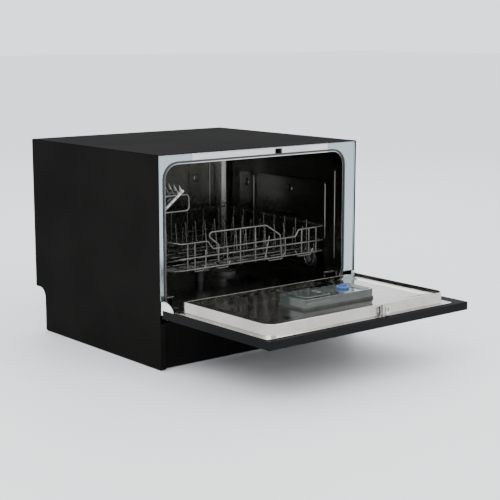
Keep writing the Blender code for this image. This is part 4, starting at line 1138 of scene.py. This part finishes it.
# ---------------------------------------------------------------- door
@dataclass
class Door(Assembly):
    """Drop-down door: black skin, bright pressed pan, hinges, dispenser and controls."""

    rim: float = 0.0025
    corner: float = 0.025
    track: float = 0.1470
    pan_left: float = -0.2525
    pan_right: float = 0.2325
    pan_near: float = 0.0135         # from the flange's near edge to the raised part
    flange_sheet: float = 0.0012
    knurls: int = 28

    def build(self) -> None:
        """Make the door and all that it carries."""
        self.shop.soften("door_outer_panel", Palette.FACE, 0.0012)
        self.pan()
        self.flange()
        for side in ("left", "right"):
            self.shop.soften(f"hinge_arm_{side}", Palette.ZINC, 0.0003)
            self.shop.soften(f"hinge_cover_{side}", Palette.WHITE, 0.0014)
        self.shop.soften("door_strike", Palette.ZINC, 0.0008)
        self.screws()
        self.wall_fittings()
        self.dispenser()
        self.controls()

    def outline(self, inset: float) -> Outline:
        """Pan outline at a distance inside its edge."""
        low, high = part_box("door_inner_pan")
        return rounded(self.pan_left + inset, low.y + self.pan_near + inset, self.pan_right - inset,
                       high.y - inset, max(self.corner - inset, 0.006), 9)

    def pan(self) -> None:
        """Raised pan with a cove at its foot, a rolled rim and a shallow pressed floor."""
        low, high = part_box("door_inner_pan")
        foot, top, edge = low.z + self.flange_sheet, high.z, self.rim
        levels = ((-0.0016, low.z + 0.0001), (-0.0016, foot), (-0.0006, foot + 0.0004), (0.0, foot + 0.0016),
                  (0.0004, top - 0.0012), (0.0007, top - 0.0004), (0.0012, top), (edge - 0.0003, top),
                  (edge, top - 0.0004), (edge + 0.0002, top - 0.0030), (edge + 0.0004, self.track + 0.0008),
                  (edge + 0.0010, self.track), (0.0235, self.track - 0.0001), (0.0275, self.track - 0.0006),
                  (0.0330, self.track - 0.0016), (0.0400, self.track - 0.0020),
                  (0.0440, self.track - 0.0020))
        bm = bmesh.new()
        loft(bm, [[Vector((x, y, z)) for x, y in self.outline(inset)] for inset, z in levels])
        ramp = bmesh.new()
        box(ramp, (self.pan_left + 0.0027, high.y - 0.045, self.track + 0.0002),
            (self.pan_right - 0.0027, high.y + 0.010, top + 0.010))
        carve(bm, ramp)
        self.shop.piece("pan_pressing", bm, Palette.PAN, "door", ("door_inner_pan",), sharp=40)

    def flange(self) -> None:
        """Thin flange round the pan with its locating tabs."""
        low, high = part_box("door_inner_pan")
        bm = bmesh.new()
        shape = rounded(low.x, low.y, high.x, high.y - 0.008, 0.006, 4)
        loft(bm, storeys(shape, (low.z, low.z + self.flange_sheet)))
        for x, y in ((-0.262, -0.318), (-0.262, -0.560), (0.2352, -0.318)):
            width = 0.0045 if x < 0 else 0.0022
            pillow(bm, rounded(x - width, y - 0.011, x + width, y + 0.011, width * 0.8, 4),
                   raised(low.z + 0.0011), 0.0010, 0.0012)
        self.shop.piece("pan_flange", bm, Palette.PAN, "door", bevel=0.0003)

    def wall_fittings(self) -> None:
        """Spring hook and slit edge on the pan's far wall."""
        low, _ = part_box("door_inner_pan")
        y, z = low.y + self.pan_near, low.z + 0.0030
        hook = [(0.0340, y - 0.0006, z), (0.0366, y - 0.0010, z + 0.0045), (0.0344, y - 0.0010, z + 0.0100),
                (0.0362, y - 0.0006, z + 0.0160)]
        slit = [(0.0425, y - 0.0004, z - 0.001), (0.0425, y - 0.0004, z + 0.0175)]
        self.shop.bend("pan_hook", [hook, slit], 0.0007, Palette.SEAM, "door", bend=0.003, sides=8)

    def screws(self) -> None:
        """Small screws that hold the pan to the skin."""
        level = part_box("door_inner_pan")[0].z + self.flange_sheet
        spots = [Spot((-0.2672, y, level), "Z", y * 9) for y in (-0.345, -0.440, -0.535)]
        spots += [Spot((x, -0.5805, level), "Z", x * 9) for x in (-0.20, -0.07, 0.12, 0.21)]
        self.shop.repeat("pan_screws", screw_head(0.0026, 0.0011), spots, Palette.SCREW, "door")

    def dispenser(self) -> None:
        """Dispenser with its gasket line, lid, latch bar and ribbed rinse-aid cap."""
        self.shop.soften("dispenser_body", Palette.GLOSS, 0.0016)
        self.shop.soften("detergent_lid", Palette.GLOSS, 0.0010)
        low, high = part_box("dispenser_body")
        skirt = bmesh.new()
        shape = rounded(low.x - 0.0016, low.y - 0.0016, high.x + 0.0016, high.y + 0.0016, 0.0072, 5)
        loft(skirt, storeys(shape, (self.track - 0.0024, low.z + 0.0022)))
        self.shop.piece("dispenser_seal", skirt, Palette.RUBBER, "door", bevel=0.0006)
        lid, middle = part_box("detergent_lid")[1], middle_of("detergent_lid").y
        grip = bmesh.new()
        pillow(grip, rounded(lid.x - 0.016, middle - 0.012, lid.x - 0.006, middle + 0.012, 0.003, 4),
               raised(lid.z - SUNK), 0.0015, 0.0015)
        self.shop.piece("lid_catch", grip, Palette.GREY, "detergent_lid")
        plate = bmesh.new()
        pillow(plate, rounded(0.0605, low.y + 0.006, high.x - 0.004, high.y - 0.006, 0.006, 5),
               raised(high.z - SUNK), 0.0014, 0.0014)
        self.shop.piece("dispenser_plate", plate, Palette.GREY, "door")
        self.cap()

    def cap(self) -> None:
        """Rinse-aid cap with finger bar and knurled rim."""
        low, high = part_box("rinse_aid_cap")
        cx, cy = middle_of("rinse_aid_cap").xy
        radius, face = (high.x - low.x) / 2, high.z - 0.0030
        bm = bmesh.new()
        lathe(bm, [(radius - 0.0004, low.z), (radius - 0.0004, face - 0.0012), (radius - 0.0014, face),
                   (radius - 0.0034, face), (radius - 0.0042, face - 0.0008)], (cx, cy, 0), steps=40)
        reach = radius - 0.0034
        box(bm, (cx - reach, cy - 0.0015, face - 0.0012), (cx + reach, cy + 0.0015, high.z))
        self.shop.piece("rinse_cap_turned", bm, Palette.BLUE, "rinse_aid_cap", ("rinse_aid_cap",),
                        bevel=0.0004)
        rib = bmesh.new()
        box(rib, (-0.0005, -0.0005, low.z + 0.0004), (0.0004, 0.0005, face - 0.0012))
        spots = [Spot((x, y, 0.0), "Z", 2 * math.pi * index / self.knurls)
                 for index, (x, y) in enumerate(circle(cx, cy, radius - 0.0004, self.knurls))]
        self.shop.repeat("rinse_cap_ribs", rib, spots, Palette.BLUE, "rinse_aid_cap")

    def controls(self) -> None:
        """Display, buttons with their bezels, and the board behind them."""
        self.shop.soften("display_window", Palette.SMOKE, 0.0006)
        self.shop.soften("control_board", Palette.BOARD, 0.0002)
        buttons = ("push_button_1", "push_button_2")
        for node in buttons:
            self.shop.soften(node, Palette.GREY, 0.0008)
        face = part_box("door_outer_panel")[0].z
        bezel = bmesh.new()
        lathe(bezel, [(0.0068, -0.0002), (0.0072, 0.0005), (0.0084, 0.0005), (0.0088, -0.0002)], (0, 0, 0),
              steps=28)
        spots = [Spot((*middle_of(node).xy, face), "-Z") for node in buttons]
        self.shop.repeat("button_bezels", bezel, spots, Palette.GREY, "door")


# ---------------------------------------------------------------- basket
@dataclass
class Basket(Assembly):
    """Coated wire basket with its handle, tines, posts and shelf frame."""

    wire: float = 0.0018
    front: float = -0.2097
    rear: float = 0.1467
    left: float = -0.2355
    right: float = 0.2155
    floor: float = 0.1885
    top_hoop: tuple[float, float] = (0.250, 0.258)       # height in front, height at the sides
    middle_hoop: tuple[float, float] = (0.218, 0.204)
    low_hoop: tuple[float, float] = (0.193, 0.1905)
    handle_top: float = 0.2685
    finger_top: float = 0.2485
    finger_foot: float = 0.190
    bow_top: float = 0.200
    bow_foot: float = 0.1875
    tine_top: float = 0.2425
    rail: float = 0.2575             # where wires end under the top hoop
    shelf_rail: float = 0.3540
    floor_wires: int = 9
    cross_wires: int = 8
    hairpins: int = 9
    posts: tuple[float, ...] = (-0.1715, -0.0525, 0.0955)

    def build(self) -> None:
        """Bend every wire of the basket."""
        self.walls()
        self.handle()
        self.fingers()
        self.base()
        self.tines()
        self.side_posts()
        self.side_frame()

    def loop(self, front_z: float, side_z: float) -> list[Place]:
        """One wire right round the basket, cut across its front left corner."""
        middle = (self.left + self.right) / 2
        return [(middle, self.rear, side_z), (self.right, self.rear, side_z),
                (self.right, self.front, front_z), (self.left + 0.0475, self.front, front_z),
                (self.left, self.front + 0.047, side_z), (self.left, self.rear, side_z),
                (middle, self.rear, side_z)]

    def walls(self) -> None:
        """Three wires round the basket; the top one dips along the front."""
        top = self.loop(*self.top_hoop)
        dip = [(0.138, self.front, 0.249), (0.129, self.front, 0.234), (-0.106, self.front, 0.232),
               (-0.120, self.front, 0.250)]
        top[3:3] = dip
        middle, low = self.loop(*self.middle_hoop), self.loop(*self.low_hoop)
        self.shop.bend("basket_hoops", [top, middle, low], self.wire, Palette.WIRE, "basket",
                       ("basket_front", "basket_rear", "basket_left", "basket_right"), 0.008, 12)

    def handle(self) -> None:
        """Raised handle wire on the front wall."""
        y = self.front - 0.0002
        path = [(-0.091, y, 0.204), (-0.091, y, 0.240), (-0.130, y, self.handle_top),
                (0.042, y, self.handle_top), (0.083, y, 0.243), (0.087, y, 0.193)]
        self.shop.bend("basket_handle", [path], 0.0020, Palette.WIRE, "basket", bend=0.007, sides=12)

    def fingers(self) -> None:
        """Short upright and bowed wires welded to the front wall."""
        y = self.front + 0.0030
        tall, foot = self.finger_top, self.finger_foot
        paths = [[(x, y, top), (x, y, foot)] for x, top in
                 ((-0.171, tall), (-0.152, tall), (-0.123, 0.2300), (0.101, 0.2310), (0.150, tall),
                  (0.172, tall), (0.194, tall))]
        paths += [[(x, y, self.handle_top - 0.0015), (x, y, foot)] for x in (-0.028, 0.014)]
        paths += [[(0.054, y, 0.242), (0.041, y, foot)], [(-0.064, y, 0.231), (-0.064, y, foot)]]
        for x0, x1 in ((-0.160, -0.122), (-0.099, -0.056), (0.044, 0.099), (0.131, 0.185)):
            paths.append([(x0, y, self.bow_top), (x0 + 0.008, y, self.bow_foot),
                          (x1 - 0.008, y, self.bow_foot), (x1, y, self.bow_top)])
        self.shop.bend("basket_fingers", paths, self.wire, Palette.WIRE, "basket", bend=0.005)

    def base(self) -> None:
        """Floor wires that turn up into the side and rear walls."""
        paths = []
        back, side = self.rear - 2 * self.wire, self.right - 2 * self.wire
        for index in range(self.floor_wires):
            x = self.left + 0.030 + (self.right - self.left - 0.060) * index / (self.floor_wires - 1)
            paths.append([(x, self.front + 0.003, 0.193), (x, self.front + 0.006, self.floor),
                          (x, back, self.floor), (x, back, self.rail)])
        for index in range(self.cross_wires):
            y = self.front + 0.055 + (self.rear - self.front - 0.085) * index / (self.cross_wires - 1)
            paths.append([(self.left, y, self.floor - 0.0030), (side, y, self.floor - 0.0030),
                          (side, y, self.rail)])
        self.shop.bend("basket_grid", paths, 0.0015, Palette.WIRE, "basket", ("basket_floor",), 0.009, 8)

    def tines(self) -> None:
        """Plate supports: rows of hairpins on cross wires."""
        for name, lo, hi in (("front", -0.1515, -0.0865), ("rear", 0.0035, 0.0685)):
            low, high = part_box(f"tine_bank_{name}")
            paths = [[(low.x, y, 0.1915), (high.x, y, 0.1915)] for y in (lo, hi)]
            for index in range(self.hairpins):
                x = low.x + self.wire + (high.x - low.x - 2 * self.wire) * index / (self.hairpins - 1)
                paths.append([(x, lo - 0.002, self.tine_top), (x, lo + 0.003, 0.1925),
                              (x, hi - 0.003, 0.1925), (x, hi + 0.002, self.tine_top)])
            self.shop.bend(f"tine_row_{name}", paths, 0.0016, Palette.WIRE, "basket",
                           (f"tine_bank_{name}",), 0.006, 10)

    def side_posts(self) -> None:
        """Left posts that step outward below the shelves, and an L-bent foot."""
        x = self.left
        paths = [[(x, y, 0.3535), (x, y, 0.291), (x - 0.0050, y, 0.277), (x - 0.0050, y, 0.212),
                  (x, y, 0.200), (x, y, 0.1885)] for y in self.posts]
        paths.append([(x - 0.0036, 0.0655, self.rail), (x - 0.0036, 0.0655, 0.190)])
        paths.append([(x, -0.1385, 0.2580), (x - 0.001, -0.1385, 0.1890)])
        self.shop.bend("basket_posts", paths, self.wire, Palette.WIRE, "basket", bend=0.006)

    def side_frame(self) -> None:
        """Wire frame that carries the cup shelves, and the rod on which they hang."""
        low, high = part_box("shelf_frame")
        x, front, rear = self.left, self.front + 0.004, self.rear
        top = self.shelf_rail
        path = [(x, rear, 0.262), (x, rear, top), (x, front, top), (-0.166, front, top),
                (-0.166, front, 0.3200), (x, front, 0.3200)]
        rungs = [[(x, y, 0.2705), (x + 0.020, y, 0.2705)] for y in (-0.148, -0.030, 0.118)]
        self.shop.bend("shelf_frame_wire", [path, *rungs], self.wire, Palette.WIRE, "basket",
                       ("shelf_frame",), 0.008, 12)
        rod = [(x + 0.0008, low.y + 0.004, 0.3190), (x + 0.0008, high.y - 0.004, 0.3190)]
        self.shop.bend("shelf_rod", [rod], 0.0026, Palette.DARK, "basket")


@dataclass
class Wheels(Assembly):
    """Six wheels, each with a tyre, a spoked web, a ring of studs and a bright ring."""

    spokes: int = 6
    studs: int = 14
    stud_circle: float = 0.0104

    def build(self) -> None:
        """Make the wheels and what holds them."""
        for side, outward in (("left", -1), ("right", 1)):
            for index in (1, 2, 3):
                self.wheel(f"wheel_{side}_{index}", outward)
            self.carrier(side, outward)

    def wheel(self, node: str, outward: int) -> None:
        """One wheel round its axle.

        Args:
            node: The frame node that it stands for.
            outward: Sign of X towards the tub's wall.
        """
        low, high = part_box(node)
        centre = middle_of(node)
        radius, half = (high.z - low.z) / 2, (high.x - low.x) / 2
        axis = "X" if outward > 0 else "-X"
        tyre = bmesh.new()
        tube(tyre, [(radius - 0.0032, -half), (radius - 0.0008, -half + 0.0003), (radius, -half + 0.0012),
                    (radius, half - 0.0012), (radius - 0.0008, half - 0.0003), (radius - 0.0032, half),
                    (radius - 0.0042, half - 0.0010), (radius - 0.0042, -half + 0.0010)], centre, axis)
        self.shop.piece(f"{node}_tyre", tyre, Palette.TYRE, node, (node,), sharp=40)
        web = bmesh.new()
        rim = radius - 0.0041
        tube(web, [(0.0034, -half + 0.0008), (rim, -half + 0.0008), (rim, half - 0.0022),
                   (0.0034, half - 0.0022)], centre, axis)
        tube(web, [(0.0032, -half + 0.0002), (0.0058, -half + 0.0002), (0.0058, half - 0.0006),
                   (0.0050, half), (0.0032, half)], centre, axis)
        self.shop.piece(f"{node}_web", web, Palette.DARK, node, sharp=40)
        ring = bmesh.new()
        outer = radius - 0.0028
        tube(ring, [(outer - 0.0008, half - 0.0026), (outer, half - 0.0026), (outer, half - 0.0002),
                    (outer - 0.0004, half + 0.0001), (outer - 0.0008, half - 0.0004)], centre, axis)
        self.shop.piece(f"{node}_ring", ring, Palette.ZINC, node, sharp=40)
        self.pattern(node, centre, half, axis)

    def pattern(self, node: str, centre: Vector, half: float, axis: str) -> None:
        """Spokes inside the bright ring and small bosses outside it."""
        turn = turn_to(axis)
        spoke = bmesh.new()
        box(spoke, (0.0050, -0.0008, half - 0.0030), (0.0086, 0.0008, half - 0.0010))
        stud = bmesh.new()
        lathe(stud, [(0.0007, 0.0), (0.0007, 0.0006), (0.0004, 0.0009)], (0, 0, 0), steps=10)
        spots = [Spot(tuple(centre), axis, 2 * math.pi * index / self.spokes)
                 for index in range(self.spokes)]
        studs = [Spot(tuple(centre + turn @ Vector((x, y, half - 0.0024))), axis)
                 for x, y in circle(0, 0, self.stud_circle, self.studs)]
        self.shop.repeat(f"{node}_spokes", spoke, spots, Palette.GREY, node, bevel=0.0003)
        self.shop.repeat(f"{node}_studs", stud, studs, Palette.PALE, node)

    def carrier(self, side: str, outward: int) -> None:
        """Axles, wire cradles and clips between the wheels and the basket wall."""
        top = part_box(f"wheel_carrier_{side}")[1].z + 0.0035
        bm, paths = bmesh.new(), []
        for index in (1, 2, 3):
            lo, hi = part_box(f"wheel_{side}_{index}")
            _, y, z = middle_of(f"wheel_{side}_{index}")
            inner = lo.x if outward > 0 else hi.x
            plane = inner - outward * 0.0026
            axis = "X" if outward > 0 else "-X"
            lathe(bm, [(0.0055, -0.0075), (0.0066, -0.0068), (0.0066, -0.0012), (0.0044, -0.0006),
                       (0.0029, -0.0004), (0.0029, 0.0084), (0.0020, 0.0088)], (inner, y, z), axis, 24)
            box(bm, (min(plane, plane - outward * 0.0045), y - 0.0050, z),
                (max(plane, plane - outward * 0.0045), y + 0.0050, top))
            half = [(0.0155, 0.2040), (0.0175, 0.1700), (0.0090, 0.1530)]
            paths.append([(plane, y - away, level) for away, level in half]
                         + [(plane, y + away, level) for away, level in reversed(half)])
        self.shop.piece(f"wheel_hubs_{side}", bm, Palette.GREY, "basket", (f"wheel_carrier_{side}",),
                        bevel=0.0005)
        self.shop.bend(f"wheel_cradles_{side}", paths, 0.0015, Palette.WIRE, "basket", bend=0.009)


@dataclass
class CupShelves(Assembly):
    """Two folding plastic shelves: a ribbed grid with a toothed edge."""

    slope: float = math.radians(37.5)
    columns: int = 9
    rows: int = 4
    thick: float = 0.0040
    reach: float = 0.066

    def build(self) -> None:
        """Make both shelves."""
        for name in ("front", "rear"):
            self.shelf(f"cup_shelf_{name}")

    def shelf(self, node: str) -> None:
        """One shelf in its raised place.

        Args:
            node: The frame node that it stands for, also its body.
        """
        low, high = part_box(node)
        length, reach = high.y - low.y, self.reach
        corner = Matrix.Translation((low.x + 0.0012, low.y, low.z + 0.0016))
        turn = corner @ Matrix.Rotation(-self.slope, 4, "Y")
        half = self.thick / 2
        bm, ends, teeth = bmesh.new(), bmesh.new(), bmesh.new()
        for row in range(self.rows):
            u = 0.006 + (reach - 0.017) * row / (self.rows - 1)
            box(bm, (u - 0.0017, 0.0, -half), (u + 0.0017, length, half))
        for column in range(1, self.columns):
            v = length * column / self.columns
            box(bm, (0.0, v - 0.0012, -half), (reach - 0.0095, v + 0.0012, half))
        for v in (0.016, length / 2, length - 0.016):
            box(bm, (-0.0020, v - 0.0060, -half * 1.1), (0.0070, v + 0.0060, half * 1.1))
        for v in (0.0, length - 0.0040):
            box(ends, (0.0025, v, -half * 1.1), (reach - 0.0040, v + 0.0040, half * 1.2))
        for column in range(self.columns):
            v = 0.0042 + (length - 0.0084) * column / (self.columns - 1)
            for lift, size in ((0.0, 1.0), (-0.0085, 0.7)):
                self.tooth(teeth, reach - 0.0090 + lift, v, size)
        for name, mesh, finish in (("grid", bm, Palette.GREY), ("ends", ends, Palette.PALE),
                                   ("teeth", teeth, Palette.PALE)):
            bmesh.ops.transform(mesh, matrix=turn, verts=mesh.verts)
            stands_for = (node,) if name == "grid" else ()
            self.shop.piece(f"{node}_{name}", mesh, finish, node, stands_for, bevel=0.0004)

    def tooth(self, bm: bmesh.types.BMesh, reach: float, v: float, size: float) -> None:
        """One leaf-shaped tooth that stands on the shelf and ends in a fine tip.

        Args:
            bm: The mesh that grows.
            reach: Its root along the shelf's slope.
            v: Its middle along the shelf.
            size: Scale.
        """
        levels = ((-0.0010, 0.0022, 0.0012), (0.0030, 0.0046, 0.0018), (0.0066, 0.0034, 0.0014),
                  (0.0100, 0.0014, 0.0008), (0.0140, 0.0003, 0.0003))
        rings = []
        for height, wide, deep in levels:
            lean = height * 0.35
            rings.append([Vector((reach + (lean + x * deep) * size, v + y * wide * size, height * size))
                          for x, y in ((1, 0), (0.5, 0.8), (-0.5, 0.8), (-1, 0), (-0.5, -0.8), (0.5, -0.8))])
        loft(bm, rings)


# ---------------------------------------------------------------- the whole machine
def main() -> None:
    """Build the stage and the machine."""
    logging.basicConfig(level=logging.INFO, format="%(name)s: %(message)s")
    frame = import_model()
    Studio().build()
    shop = Workshop(frame)
    for assembly in (Cabinet, FrontFrame, Tub, WashParts, Fittings, Door, Basket, Wheels, CupShelves):
        assembly(shop).build()
        LOG.info("%s done", assembly.__name__)
    shop.dress_rest()


if __name__ == "__main__":
    main()
